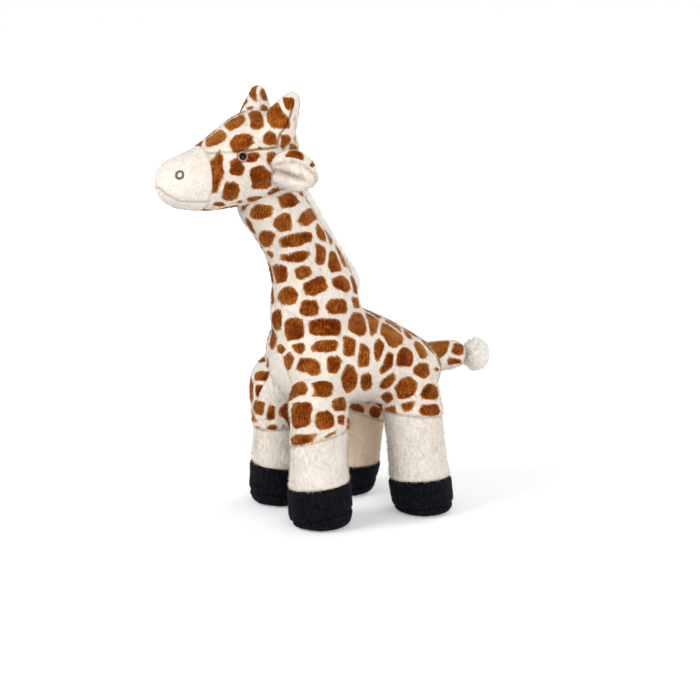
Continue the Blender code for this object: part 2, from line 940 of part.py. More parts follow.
# The toy is moved along so that the middle of its length lies over the origin.
def middle_of_length():
    nose = head_origin().y - head_length
    tuft_end = tail_place().y + tail_length + seam_gap + tuft_length
    return (nose + tuft_end) / 2


clear_scene()
parts = new_collection("plush_giraffe")
cutters = new_collection("cutters")
origin = joint_empty("giraffe_origin", Vector())
origin.location.y = -middle_of_length()

torso_body = joint_empty("torso_body", Vector(), origin)
neck_body = joint_empty("neck_bend_joint", neck_path()[0][0], torso_body)
head_body = joint_empty("head_nod_joint", neck_path()[-1][0], neck_body)
tail_body = joint_empty("tail_swing_joint", tail_place(), torso_body)

build_torso(torso_body, hip_sockets() + [neck_base_socket(), tail_socket()])
for leg_name in legs:
    build_leg(leg_name, joint_empty(f"{leg_name}_hip_joint", hip_place(leg_name), torso_body))
build_neck(neck_body)
build_head(head_body, neck_top_socket())
for ear_side, ear_word in ((1, "left"), (-1, "right")):
    ear_root = ear_frame(ear_side)[0]
    build_ear(ear_side, ear_word, joint_empty(f"ear_{ear_word}_flap_joint", ear_root, head_body))
build_tail(tail_body)
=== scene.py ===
import json
import math
import random
from contextlib import contextmanager

import bmesh
import bpy
import numpy as np
from mathutils import Matrix, Vector
from mathutils.bvhtree import BVHTree


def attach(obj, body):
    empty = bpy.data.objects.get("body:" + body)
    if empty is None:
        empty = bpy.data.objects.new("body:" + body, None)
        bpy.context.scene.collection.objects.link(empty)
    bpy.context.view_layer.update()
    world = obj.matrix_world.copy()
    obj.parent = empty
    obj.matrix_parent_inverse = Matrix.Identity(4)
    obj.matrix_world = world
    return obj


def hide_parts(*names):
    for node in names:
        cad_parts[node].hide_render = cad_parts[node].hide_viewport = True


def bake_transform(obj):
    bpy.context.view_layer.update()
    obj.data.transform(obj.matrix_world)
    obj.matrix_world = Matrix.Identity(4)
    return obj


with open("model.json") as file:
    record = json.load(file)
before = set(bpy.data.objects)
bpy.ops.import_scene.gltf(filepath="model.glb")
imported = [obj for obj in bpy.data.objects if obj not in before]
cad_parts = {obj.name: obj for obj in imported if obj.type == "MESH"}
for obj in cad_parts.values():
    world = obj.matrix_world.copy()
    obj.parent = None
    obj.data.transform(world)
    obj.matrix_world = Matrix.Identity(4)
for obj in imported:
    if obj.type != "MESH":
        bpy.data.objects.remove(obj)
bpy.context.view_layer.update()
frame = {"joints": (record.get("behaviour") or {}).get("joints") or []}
joints = {joint["name"]: Vector(joint["pos_m"]) for joint in frame["joints"]}
legNames = ("front_left", "front_right", "hind_left", "hind_right")
up = Vector((0, 0, 1))
ahead = Vector((0, -1, 0))
leftward = Vector((1, 0, 0))

# Camera of the photograph, as seen from the front left and a little above. Where the ray through a pixel
# misses a surface, probes along the ray look for the nearest place on it.
view = {
    "azimuth": 63.1,
    "elevation": 11.0,
    "distance": 1.30,
    "target": Vector((0, 0, 0.150)),
    "targetAt": (330.0, 295.0),
    "pixelsPerMetre": 1470.0,
    "imageSize": 700,
    "sensor": 36.0,
    "clipStart": 0.05,
    "probes": 60,
    "probeReach": 0.15,
}


def viewAxes():
    azimuth = math.radians(view["azimuth"])
    elevation = math.radians(view["elevation"])
    right = Vector((math.cos(azimuth), math.sin(azimuth), 0))
    level = Vector((-math.sin(azimuth), math.cos(azimuth), 0))
    forward = level * math.cos(elevation) - up * math.sin(elevation)
    return right, right.cross(forward), forward


viewRight, viewUp, viewForward = viewAxes()
eyePoint = view["target"] - viewForward * view["distance"]
focalPixels = view["pixelsPerMetre"] * view["distance"]


def makeCamera():
    camera = linked("camera", bpy.data.cameras.new("camera"))
    bpy.context.scene.camera = camera
    size = view["imageSize"]
    camera.data.sensor_width = view["sensor"]
    camera.data.lens = focalPixels * view["sensor"] / size
    camera.data.shift_x = 0.5 - view["targetAt"][0] / size
    camera.data.shift_y = view["targetAt"][1] / size - 0.5
    camera.location = eyePoint
    camera.rotation_euler = viewForward.to_track_quat("-Z", "Y").to_euler()
    camera.data.clip_start = view["clipStart"]
    print("camera placed")


def rayThrough(pixel):
    x = (pixel[0] - view["targetAt"][0]) / focalPixels
    y = (pixel[1] - view["targetAt"][1]) / focalPixels
    return (viewForward + viewRight * x - viewUp * y).normalized()


def onSurface(tree, pixel):
    # where a pixel of the photograph falls on a surface, and the surface's normal there
    way = rayThrough(pixel)
    place, normal, _, _ = tree.ray_cast(eyePoint, way)
    if place is None:
        near = view["distance"] - view["probeReach"]
        steps = [near + 2 * view["probeReach"] * step / view["probes"] for step in range(view["probes"])]
        found = [tree.find_nearest(eyePoint + way * step) for step in steps]
        place, normal, _, _ = min(found, key=lambda hit: hit[3])
    return place, normal


# Scene tools
def deselectAll():
    if bpy.context.mode != "OBJECT":
        bpy.ops.object.mode_set(mode="OBJECT")
    bpy.ops.object.select_all(action="DESELECT")


def choose(*things):
    deselectAll()
    for thing in things:
        thing.select_set(True)
    bpy.context.view_layer.objects.active = things[0]


@contextmanager
def editing():
    # edit mode with all of the mesh selected, while the block lasts
    bpy.ops.object.mode_set(mode="EDIT")
    bpy.ops.mesh.select_all(action="SELECT")
    yield
    bpy.ops.object.mode_set(mode="OBJECT")


def linked(name, data):
    thing = bpy.data.objects.new(name, data)
    bpy.context.scene.collection.objects.link(thing)
    return thing


def applyModifier(thing, kind, **settings):
    choose(thing)
    modifier = thing.modifiers.new(kind.lower(), kind)
    for name, value in settings.items():
        setattr(modifier, name, value)
    bpy.ops.object.modifier_apply(modifier=modifier.name)


def subdivide(thing, levels):
    applyModifier(thing, "SUBSURF", levels=levels, render_levels=levels)


def remesh(thing, voxel):
    applyModifier(thing, "REMESH", mode="VOXEL", voxel_size=voxel)


def smooth(thing, times):
    applyModifier(thing, "SMOOTH", factor=0.5, iterations=times)


def smoothShaded(thing):
    thing.data.polygons.foreach_set("use_smooth", np.ones(len(thing.data.polygons), bool))
    thing.data.update()
    return thing


def valuesOf(items, what):
    flat = np.empty(len(items) * 3)
    items.foreach_get(what, flat)
    return flat.reshape(-1, 3)


def pointsOf(mesh):
    return valuesOf(mesh.vertices, "co")


def normalsOf(mesh):
    return valuesOf(mesh.vertex_normals, "vector")


def setPoints(mesh, points):
    mesh.vertices.foreach_set("co", points.ravel())
    mesh.update()


def pushOut(thing, amounts):
    # moves each point along its normal
    mesh = thing.data
    setPoints(mesh, pointsOf(mesh) + normalsOf(mesh) * amounts[:, None])


def setField(mesh, name, values):
    field = mesh.attributes.get(name) or mesh.attributes.new(name, "FLOAT", "POINT")
    field.data.foreach_set("value", values.astype(np.float32))


def lengthsOf(rows):
    return np.linalg.norm(rows, axis=1)


def unitRows(rows):
    return rows / np.maximum(lengthsOf(rows), 1e-6)[:, None]


def soften(values, low, high):
    share = np.clip((values - low) / (high - low), 0, 1)
    return share * share * (3 - 2 * share)


def bell(distances, width):
    return np.exp(-(distances / width) ** 2)


waves = {"toLayer": 6, "slowest": 0.6, "paces": 0.8, "phases": 6.28, "evened": 2.2}


def smoothNoise(points, scale, seed, layers=3):
    # sums of a few sines in turned directions, smooth and the same each run
    rng = np.random.default_rng(seed)
    total = np.zeros(len(points))
    for index in range(layers * waves["toLayer"]):
        layer = 1 + index // waves["toLayer"]
        way = rng.normal(size=3)
        way /= np.linalg.norm(way)
        pace = 2 * math.pi / scale * (waves["slowest"] + waves["paces"] * rng.random()) * layer
        total += np.sin(points @ way * pace + rng.random() * waves["phases"]) / layer
    return total / (layers * waves["evened"])


def lumpsOf(points, seed, *sizes):
    # noises over each other, each of its own scale and depth, and some of their own number of layers
    sizes = enumerate(sizes, seed)
    return sum(smoothNoise(points, scale, each, *layers) * depth for each, (scale, depth, *layers) in sizes)


# Stuffed forms. A station is a ring's centre, its tilt about X, its half width and its half depth.
formCage = {"sides": 16, "swell": 1.027, "levels": 2}


def placeRing(before, after):
    centre, tilt, wide, deep = after
    if before:
        oldCentre, oldTilt, oldWide, oldDeep = before
        bpy.ops.transform.rotate(value=oldTilt, orient_axis="X", center_override=oldCentre)
    else:
        oldCentre, oldWide, oldDeep = Vector(), 1.0, 1.0
    grow = (wide / oldWide, deep / oldDeep, 1)
    bpy.ops.transform.resize(value=grow, center_override=oldCentre)
    bpy.ops.transform.translate(value=centre - oldCentre)
    bpy.ops.transform.rotate(value=-tilt, orient_axis="X", center_override=centre)


def growForm(name, stations):
    # grown ring by ring from a disc by extruding, and rounded by subdivision
    deselectAll()
    swell = formCage["swell"]
    rings = [(centre, tilt, wide * swell, deep * swell) for centre, tilt, wide, deep in stations]
    bpy.ops.mesh.primitive_circle_add(vertices=formCage["sides"], radius=1, fill_type="NGON")
    form = bpy.context.object
    form.name = name
    with editing():
        placeRing(None, rings[0])
        for before, after in zip(rings, rings[1:]):
            bpy.ops.mesh.extrude_region_move()
            placeRing(before, after)
        bpy.ops.mesh.select_all(action="SELECT")
        bpy.ops.mesh.normals_make_consistent(inside=False)
    subdivide(form, formCage["levels"])
    return form


def fuse(name, forms, voxel, closing, smoothing):
    # one skin over several forms, its inner corners filled by swelling it and drawing it back
    choose(*forms)
    bpy.ops.object.join()
    skin = bpy.context.object
    skin.name = name
    remesh(skin, voxel)
    applyModifier(skin, "DISPLACE", strength=closing, mid_level=0)
    remesh(skin, voxel)
    smooth(skin, smoothing)
    applyModifier(skin, "DISPLACE", strength=-closing, mid_level=0)
    smooth(skin, smoothing)
    subdivide(skin, 1)
    print(name, "fused:", len(skin.data.vertices), "points")
    return skin


# Body: place along the length, lower and upper edge over the height, and width, from chest to rump
body = {
    "start": -0.0425,
    "length": 0.1225,
    "width": 0.092,
    "height": 0.068,
    "under": 0.075,
    "shares": [
        (0.004, 0.44, 0.60, 0.16),
        (0.035, 0.18, 0.82, 0.53),
        (0.115, 0.04, 0.95, 0.80),
        (0.25, 0.0, 1.0, 0.95),
        (0.41, 0.0, 1.0, 1.0),
        (0.57, -0.01, 0.93, 1.0),
        (0.73, -0.01, 0.78, 0.96),
        (0.87, 0.03, 0.62, 0.82),
        (0.965, 0.11, 0.48, 0.53),
        (0.996, 0.22, 0.37, 0.16),
    ],
}


def bodyForm():
    stations = []
    for along, low, high, wide in body["shares"]:
        place = Vector((0, body["start"] + along * body["length"], 0))
        place.z = body["under"] + (low + high) / 2 * body["height"]
        size = (wide * body["width"] / 2, (high - low) / 2 * body["height"])
        stations.append((place, math.pi / 2, *size))
    return growForm("bodyForm", stations)


# Legs: heights of the seams, each foot's offset from its hip, and rings as shares of the radius
leg = {
    "radius": 0.0205,
    "hoofHeight": 0.030,
    "sockHeight": {"front_left": 0.033, "front_right": 0.033, "hind_left": 0.040, "hind_right": 0.040},
    "splay": {"front_left": 0.0, "front_right": 0.0, "hind_left": 0.003, "hind_right": 0.001},
    "stride": {"front_left": 0.0015, "front_right": 0.0015, "hind_left": 0.0100, "hind_right": -0.0180},
    "soleHeight": 0.0065,
    "belowFloor": 0.0008,
    "domeShares": [(1.0, 0.20), (0.80, 0.58), (0.45, 0.87), (0.0, 0.99)],
    "kneeShare": 0.99,
    "hoofShares": [(1.0, 0.98), (0.72, 1.04), (0.42, 1.07), (0.20, 1.05), (0.05, 0.97)],
    "sockShares": {"front_left": 0.91, "front_right": 0.86, "hind_left": 0.955, "hind_right": 0.92},
    "flatShare": 0.86,
    "drawnIn": {"front_right": 1, "hind_right": -1},
    "drawnShare": 0.90,
    "drawnFade": (0.042, 0.032),
}


def hipOf(name):
    return joints[name + "_hip_swing"]


def footOf(name):
    # the foot's middle, aside from the hip by the leg's splay and stride
    hip = hipOf(name)
    side = 1 if hip.x > 0 else -1
    lean = 1 - leg["soleHeight"] / hip.z
    return Vector((hip.x + side * leg["splay"][name] * lean, hip.y + leg["stride"][name] * lean, 0))


def legAxisAt(name, height):
    hip = hipOf(name)
    foot = footOf(name)
    reach = min(max((hip.z - height) / (hip.z - leg["soleHeight"]), 0), 1)
    place = hip.lerp(foot, reach)
    place.z = height
    return place


def legForm(name):
    hip = hipOf(name)
    radius = leg["radius"]
    sockHeight, sockShare = leg["sockHeight"][name], leg["sockShares"][name]
    sockTop = leg["hoofHeight"] + sockHeight
    rings = [(hip.z + rise * radius, share) for rise, share in leg["domeShares"]]
    rings += [((hip.z + sockTop) / 2, leg["kneeShare"]), (sockTop, (1 + 2 * sockShare) / 3)]
    rings += [(leg["hoofHeight"] + sockHeight / 2, sockShare)]
    rings += [(rise * leg["hoofHeight"], share) for rise, share in leg["hoofShares"]]
    rings += [(-leg["belowFloor"], leg["flatShare"])]
    stations = [(legAxisAt(name, height), 0, radius * share, radius * share) for height, share in rings]
    form = growForm("legForm_" + name, stations)
    if name in leg["drawnIn"]:
        # the sides of the right hooves that face each other stay apart
        points = pointsOf(form.data)
        off = points[:, 1] - footOf(name).y
        low = soften(points[:, 2], *leg["drawnFade"]) * (off * leg["drawnIn"][name] > 0)
        points[:, 1] -= off * (1 - leg["drawnShare"]) * low
        setPoints(form.data, points)
    return form


# Neck: distance up it over its length, how much of the lean is reached, radius from base to top,
# and how far the throat swells forward over the radius
neck = {
    "length": 0.088,
    "baseRadius": 0.031,
    "topRadius": 0.0212,
    "lean": math.radians(32),
    "foot": 0.020,
    "footShare": 0.7,
    "headroom": 0.012,
    "headShare": 0.75,
    "shares": [
        (0.0, 0.0, 0.0, 0.03),
        (0.15, 0.0, 0.10, 0.03),
        (0.30, 0.14, 0.36, 0.05),
        (0.47, 0.66, 0.74, 0.06),
        (0.65, 0.93, 1.0, 0.05),
        (0.83, 0.97, 1.08, 0.02),
        (1.0, 1.0, 1.03, 0.05),
        (1.13, 1.0, 1.0, 0.09),
    ],
}


def neckForm():
    place = joints["neck_bend"].copy()
    footRadius, headRadius = neck["baseRadius"] * neck["footShare"], neck["topRadius"] * neck["headShare"]
    stations = [(place - up * neck["foot"], 0, footRadius, footRadius)]
    reached = 0.0
    for along, leaned, slimmed, throat in neck["shares"]:
        tilt = neck["lean"] * leaned
        way = up * math.cos(tilt) + ahead * math.sin(tilt)
        place = place + way * (along - reached) * neck["length"]
        reached = along
        radius = neck["baseRadius"] + (neck["topRadius"] - neck["baseRadius"]) * slimmed
        forward = ahead * math.cos(tilt) - up * math.sin(tilt)
        stations.append((place + forward * radius * throat, tilt, radius, radius * (1 + throat)))
    stations.append((place + way * neck["headroom"], tilt, headRadius, headRadius))
    return growForm("neckForm", stations)


# Tail, a tube from inside the body to the tuft
tail = {"length": 0.031, "rootRadius": 0.0108, "endRadius": 0.0100, "inside": 0.010, "raised": 0.0019}


def tailForm():
    root = joints["tail_swing"] + up * tail["raised"]
    stations = [(root - Vector((0, tail["inside"], 0)), math.pi / 2, tail["rootRadius"], tail["rootRadius"])]
    for share in (0.0, 0.5, 1.0):
        radius = tail["rootRadius"] + (tail["endRadius"] - tail["rootRadius"]) * share
        stations.append((root + Vector((0, tail["length"] * share, 0)), math.pi / 2, radius, radius))
    return growForm("tailForm", stations)


# Head: place along the length from back to nose, jaw and crown over the height, and width
head = {
    "length": 0.0985,
    "height": 0.064,
    "width": 0.054,
    "behind": 0.0150,
    "jawBelow": 0.0025,
    "shares": [
        (0.004, 0.47, 0.61, 0.14),
        (0.018, 0.36, 0.72, 0.42),
        (0.06, 0.19, 0.83, 0.70),
        (0.14, 0.10, 0.93, 0.90),
        (0.255, 0.05, 1.0, 1.0),
        (0.39, 0.03, 0.99, 1.0),
        (0.515, 0.015, 0.855, 0.965),
        (0.63, 0.0, 0.715, 0.90),
        (0.725, 0.0, 0.645, 0.83),
        (0.835, 0.025, 0.575, 0.76),
        (0.92, 0.07, 0.53, 0.61),
        (0.975, 0.15, 0.465, 0.41),
        (0.997, 0.25, 0.37, 0.14),
    ],
}


def headStart():
    return joints["head_nod"] - ahead * head["behind"] + up * head["jawBelow"]


def headForm():
    start = headStart()
    stations = []
    for along, low, high, wide in head["shares"]:
        place = start + ahead * along * head["length"] + up * (low + high) / 2 * head["height"]
        size = (wide * head["width"] / 2, (high - low) / 2 * head["height"])
        stations.append((place, math.pi / 2, *size))
    return growForm("headForm", stations)


# Horns: distance up over the length, and radius, in shares
horn = {
    "radius": 0.0105,
    "length": 0.0375,
    "aheadShare": 0.232,
    "footShare": 0.68,
    "spread": 0.0165,
    "leanOut": math.radians(20),
    "leanBack": math.radians(16),
    "broad": 1.22,
    "deep": 1.10,
    "shares": [(0.0, 1.08), (0.3, 1.02), (0.55, 0.85), (0.78, 0.60), (0.93, 0.40), (1.0, 0.18)],
}


def hornForm(side):
    foot = headStart() + ahead * horn["aheadShare"] * head["length"] + up * horn["footShare"] * head["height"]
    foot = foot + leftward * side * horn["spread"]
    stations = []
    for along, share in horn["shares"]:
        radius = horn["radius"] * share
        inward = leftward * -side * radius * (horn["broad"] - 1)
        centre = foot + up * along * horn["length"] + inward
        stations.append((centre, 0, radius * horn["broad"], radius * horn["deep"]))
    form = growForm("hornForm", stations)
    with editing():
        bpy.ops.transform.rotate(value=horn["leanBack"], orient_axis="X", center_override=foot)
        bpy.ops.transform.rotate(value=-side * horn["leanOut"], orient_axis="Y", center_override=foot)
    return form


makeCamera()
bodyForms = [bodyForm(), neckForm(), tailForm()] + [legForm(name) for name in legNames]
bodySkin = fuse("bodySkin", bodyForms, voxel=0.0018, closing=0.004, smoothing=4)
headForms = [headForm(), hornForm(1), hornForm(-1)]
headSkin = fuse("headSkin", headForms, voxel=0.0012, closing=0.002, smoothing=3)


def treeOf(thing):
    mesh = thing.data
    corners = [tuple(face.vertices) for face in mesh.polygons]
    return BVHTree.FromPolygons([vertex.co.copy() for vertex in mesh.vertices], corners)


bodyTree = treeOf(bodySkin)
headTree = treeOf(headSkin)

# Seams of the skins. Pixels along a seam give the plane that it lies in.
seamWidth = {"groove": 0.0011, "depth": 0.0008, "shade": 0.00065}
cuff = {"above": 0.0036, "reach": 0.0036, "sleeve": 0.0009, "hoof": 0.0006}
hoofSeams = {
    "front_left": [(291, 491), (300, 492.5), (310, 492), (322, 490), (335, 487.5), (345, 485)],
    "hind_left": [(393, 481), (408, 482), (424, 481.5), (440, 479), (452, 475)],
    "front_right": [(253, 461), (262, 467.5), (275, 470), (290, 469.5)],
    "hind_right": [(349, 466), (357, 468), (368, 467.5), (376, 462.5)],
}
soleSeams = {
    "front_left": [(301.5, 526.5), (315, 522), (330, 517), (348, 512)],
    "hind_left": [(396, 508), (410, 510), (430, 509.5), (449, 505)],
    "front_right": [(262, 498), (275, 501.5), (290, 499)],
    "hind_right": [(353, 491), (363, 488), (375, 478)],
}
sockSeams = {
    "front_left": [(291, 449.5), (300, 447), (315, 443), (330, 437), (343, 430)],
    "hind_left": [(384, 421), (400, 416.5), (412, 415), (426, 416), (440, 419)],
    "front_right": [(258, 435), (266, 436), (278, 436), (288, 434)],
    "hind_right": [(350.4, 407.1), (362.9, 415.7), (372.9, 421.4), (383, 424)],
}
hornSeam = [(294, 100), (292, 110), (289, 120), (284.5, 129), (280, 134), (278, 141), (277, 147)]
seamFit = {"near": 1.3, "steady": 0.012, "mostTilt": 0.30, "mostRise": 0.008, "soleRise": 0.002}
sockSlack = {"hind_right": (0.55, 0.014)}
jointRing = {"legTop": 0.0755, "legReach": 0.0245, "blendTop": 0.0742, "blendFoot": 0.052}


def levelOf(name, pixels, height, mostTilt=seamFit["mostTilt"], mostRise=seamFit["mostRise"]):
    # plane through the seam's places on the leg, held near level, and near a known height
    axis = legAxisAt(name, height)
    places = [onSurface(bodyTree, pixel)[0] for pixel in pixels]
    places = [place for place in places if (place.xy - axis.xy).length < leg["radius"] * seamFit["near"]]
    normal, middle = up.copy(), axis.copy()
    if len(places) > 2:
        rows = [(place.x - axis.x, place.y - axis.y, 1) for place in places]
        rows += [(seamFit["steady"], 0, 0), (0, seamFit["steady"], 0)]
        heights = [place.z for place in places] + [0, 0]
        slopeX, slopeY, middle.z = np.linalg.lstsq(np.array(rows), np.array(heights), rcond=None)[0]
        slope = Vector((slopeX, slopeY))
        if slope.length > mostTilt:
            slope *= mostTilt / slope.length
        normal = Vector((-slope.x, -slope.y, 1)).normalized()
        middle.z = min(max(middle.z, height - mostRise), height + mostRise)
    print(name, "seam at", round(middle.z * 1000, 1), "mm, tilt", [round(part, 2) for part in normal])
    return middle, normal


seams = {}
for name in legNames:
    sockTop = leg["hoofHeight"] + leg["sockHeight"][name]
    seams[name] = {
        "sock": levelOf(name, sockSeams[name], sockTop, *sockSlack.get(name, ())),
        "hoof": levelOf(name, hoofSeams[name], leg["hoofHeight"]),
        "sole": levelOf(name, soleSeams[name], leg["soleHeight"] + seamFit["soleRise"]),
    }

neckBase = (Vector((0, -0.010, 0.124)), Vector((0, -0.35, 0.94)).normalized())
neckHalf = (neckBase[0] + neckBase[1] * 0.045, neckBase[1])
tailBase = (Vector((0, 0.0795, 0.097)), Vector((0, 1, 0)))
muzzleSeam = (Vector((0, -0.0963, 0.225)), Vector((0, -1, 0.04)).normalized())
crownSeam = (Vector((0, -0.076, 0.2549)), Vector((0, -0.055, 1)).normalized())
mouthLine = [(-0.1247, 0.2312), (-0.1228, 0.2280), (-0.1154, 0.2232), (-0.1040, 0.2222), (-0.0940, 0.2222)]

# Plain pieces under the trunk: the belly's, and the chest's gusset, which narrows to its top
belly = {"half": 0.014, "top": 0.094, "front": -0.02}
gusset = {"top": 0.1145, "half": 0.0095, "widening": 0.42}

# Depth of each seam's groove and the shade painted along it, in shares, and the bounds between which the seams of
# the trunk run
seamShares = {
    "sock": (0.9, 0.6), "hoof": (1.1, 0.8), "sole": (1.7, 1.0), "sleeve": (0.40, 0.4),
    "back": (0.8, 0.6), "rump": (0.8, 0.6), "belly": (0.6, 0.5), "chest": (0.8, 0.6),
    "tail": (0.9, 0.6), "tailBelow": (0.6, 0.6),
    "muzzle": (0.60, 0.6), "cheek": (0.8, 0.6), "mouth": (0.85, 0.6), "horn": (1.0, 1.6),
}
sleeveSeam = {"axisAt": 0.05, "reach": 0.030, "top": 0.096, "foot": 0.012, "fade": (-0.020, 0.0)}
backSeam = {"fade": (-0.005, 0.010), "foot": 0.10, "aboveChest": 0.003, "rumpFront": 0.065}
tailSeam = {"front": 0.07, "foot": 0.08, "below": 0.0095, "belowFront": 0.08}
crownShade = {"least": 0.5, "more": 1.4, "front": (-0.082, -0.078), "back": (-0.050, -0.054), "cheekFront": -0.06}


def along(points, plane):
    return (points - np.array(plane[0])) @ np.array(plane[1])


def aboveMouth(points):
    return points[:, 2] - np.interp(points[:, 1], *zip(*mouthLine))


def nearestLeg(points):
    # the leg below the hips that each point is on, or -1
    best = np.full(len(points), -1)
    gap = np.full(len(points), jointRing["legReach"])
    for index, name in enumerate(legNames):
        hip, foot = np.array(hipOf(name)), np.array(footOf(name))
        reach = np.clip((hip[2] - points[:, 2]) / (hip[2] - leg["soleHeight"]), 0, 1)[:, None]
        axis = hip[:2] + (foot[:2] - hip[:2]) * reach
        away = lengthsOf(points[:, :2] - axis)
        closer = (away < gap) & (points[:, 2] < jointRing["legTop"])
        gap[closer] = away[closer]
        best[closer] = index
    return best


def gussetHalf(z):
    return gusset["half"] + np.maximum(gusset["top"] - z, 0) * gusset["widening"]


def seamLine(kind, distances, where=1.0):
    # distance of each point from a seam, with the shares of the seam's depth and shade there
    depth, shade = seamShares[kind]
    return np.abs(distances), where * depth, shade


def bodySeamLines(points):
    x, y, z = points.T
    legOf = nearestLeg(points)
    trunk = legOf < 0
    lines = []
    for index, name in enumerate(legNames):
        mine = legOf == index
        for kind in ("sock", "hoof", "sole"):
            lines.append(seamLine(kind, along(points, seams[name][kind]), mine))
        axis = legAxisAt(name, sleeveSeam["axisAt"])
        near = np.hypot(x - axis.x, y - axis.y) < sleeveSeam["reach"]
        upper = mine | (near & (z < sleeveSeam["top"]))
        fading = soften(along(points, seams[name]["hoof"]), *sleeveSeam["fade"])
        lines.append(seamLine("sleeve", x - axis.x, upper * (z > sleeveSeam["foot"]) * fading))
    back = soften(y, *backSeam["fade"]) * (z > backSeam["foot"]) + (along(points, neckBase) > 0) * 1.0
    back = np.clip(back, 0, 1) * (z > gusset["top"] + backSeam["aboveChest"])
    rump = (z < backSeam["foot"]) * trunk * (y > backSeam["rumpFront"])
    under = trunk * (z < belly["top"]) * (y > belly["front"])
    chest = trunk * (y < belly["front"]) * (z < gusset["top"] + 0.001)
    tailRing = (y > tailSeam["front"]) * (z > tailSeam["foot"])
    return lines + [
        seamLine("back", x, back),
        seamLine("rump", x, rump),
        seamLine("belly", np.abs(x) - belly["half"], under),
        seamLine("chest", np.abs(x) - gussetHalf(z), chest),
        seamLine("tail", along(points, tailBase), tailRing),
        seamLine("tailBelow", np.hypot(x, z - tailBase[0].z + tailSeam["below"]), y > tailSeam["belowFront"]),
    ]


def farFrom(points, path):
    # distance of each point from a line through the given places
    gap = np.full(len(points), 1.0)
    for start, end in zip(path, path[1:]):
        start, way = np.array(start), np.array(end - start)
        share = np.clip((points - start) @ way / (way @ way), 0, 1)[:, None]
        gap = np.minimum(gap, lengthsOf(points - start - way * share))
    return gap


def headSeamLines(points):
    x, y, z = points.T
    behindMuzzle = along(points, muzzleSeam) < 0
    belowCrown = along(points, crownSeam) < 0
    dark = crownShade["more"] * soften(y, *crownShade["front"]) * soften(y, *crownShade["back"])
    path = [onSurface(headTree, pixel)[0] for pixel in hornSeam]
    return [
        seamLine("muzzle", along(points, muzzleSeam)),
        (np.abs(along(points, crownSeam)), behindMuzzle * 1.0, crownShade["least"] + dark),
        seamLine("cheek", x, behindMuzzle * belowCrown * (y > crownShade["cheekFront"])),
        seamLine("mouth", aboveMouth(points), ~behindMuzzle),
        seamLine("horn", farFrom(np.column_stack([np.abs(x), y, z]), path)),
    ]


def sewSeams(skin, lines):
    # draws the skin in along its seams, and keeps the shade painted along each one
    inward = shade = np.zeros(len(skin.data.vertices))
    for distances, share, darkness in lines:
        inward = np.maximum(inward, share * bell(distances, seamWidth["groove"]))
        shade = np.maximum(shade, share * darkness * bell(distances, seamWidth["shade"]))
    pushOut(skin, -inward * seamWidth["depth"])
    setField(skin.data, "seamShade", shade)


fineLumps = [(0.006, 0.00012), (0.0024, 0.00014)]


def dimple(skin, scale, depth, seed):
    # uneven stuffing under the pile
    pushOut(skin, lumpsOf(pointsOf(skin.data), seed, (scale, depth), *fineLumps))


# Brown patches seen in the photograph: middle x and y, length, width, and the length's clockwise turn
headPatches = [
    (215, 138.5, 24, 12, -30), (234, 121.5, 22, 13, -30), (248.5, 108, 18, 8, -10),
    (256.5, 117.5, 14, 19, -10), (277.5, 117, 34, 22, 50), (288, 105, 12, 18, 0), (293.5, 121, 7, 17, -12),
    (243, 142.5, 24, 17, 0), (271, 139.5, 17, 16, 0), (285.5, 141, 13, 19, 0), (251, 156.5, 15, 13, 0),
    (261, 147.5, 14, 3, 0), (215.5, 171, 15.5, 38, 0), (210.5, 154.5, 4, 5, 0), (237, 167, 15, 17, 0),
    (261.5, 178, 22, 24, 0), (230.5, 192.5, 18, 19, 0), (271.5, 159, 9, 18, 0), (219.5, 204, 10, 5, 0),
    (206, 210, 10, 3.5, 0), (254, 199, 15, 6, -10), (273, 192, 13, 6, -25), (240, 201.5, 7, 3, 0),
    (253.5, 93, 10, 19, 0), (262.5, 94, 9, 13, -15),
]
neckPatches = [
    (290.5, 199, 22, 15, -10), (310, 194.5, 14, 6, 65), (260.5, 211.5, 25, 14.5, -4), (283, 223, 21, 17, -15),
    (310.5, 215.5, 20, 14, -45), (249.5, 226, 16, 5, 58), (326.5, 231.5, 25, 10, 62), (266, 239, 16, 16, 15),
    (297.5, 239, 33, 12.5, -14), (270.5, 254, 9, 5, 50), (295.5, 257, 29, 9, -8), (320.5, 253, 11, 21, 0),
    (335, 262.5, 12, 22, -8), (278.5, 274, 15, 20, -10), (303, 272.5, 19, 12, -15), (316, 286, 24, 17, -25),
    (342.5, 283.5, 21, 14, 35), (272, 295, 5.5, 20, 0), (287, 296, 20, 17, -8), (309, 308, 19, 17, 0),
    (337.5, 306, 21, 15, -5), (356, 303, 8, 13, -15), (275.5, 320, 12, 20, 0),
]
bodyPatches = [
    (294.3, 329.5, 20.5, 23, 0), (324.8, 327, 33.5, 18, 0), (357.5, 324.5, 19, 23, 0),
    (372.3, 321.3, 10.5, 24.5, -20), (298, 348, 14, 13, -10), (325, 346, 26, 12, -8),
    (349, 344, 13.5, 21.5, 0), (364, 357, 11.5, 25.5, 5), (379.5, 348.5, 10.5, 23, 0), (391, 334, 27, 16, 45),
    (406.5, 333, 14, 8, 45), (308, 366, 27, 15, 15), (334, 365, 17, 17, 0), (349, 379, 17, 26, 0),
    (366, 381, 12, 18, 0), (387, 363, 11, 22, 15), (405.5, 357, 16, 19, 10), (421, 349.5, 20, 9, 60),
    (423, 370, 15, 15, 45), (273, 335, 9, 30, 0), (281, 349, 10, 8, 45), (267.5, 362.5, 5, 11, 0),
    (435, 349, 24, 16, 0), (459, 349, 15, 12, 0), (455, 365, 15, 12, 0), (438, 369.5, 8, 3, 0),
]
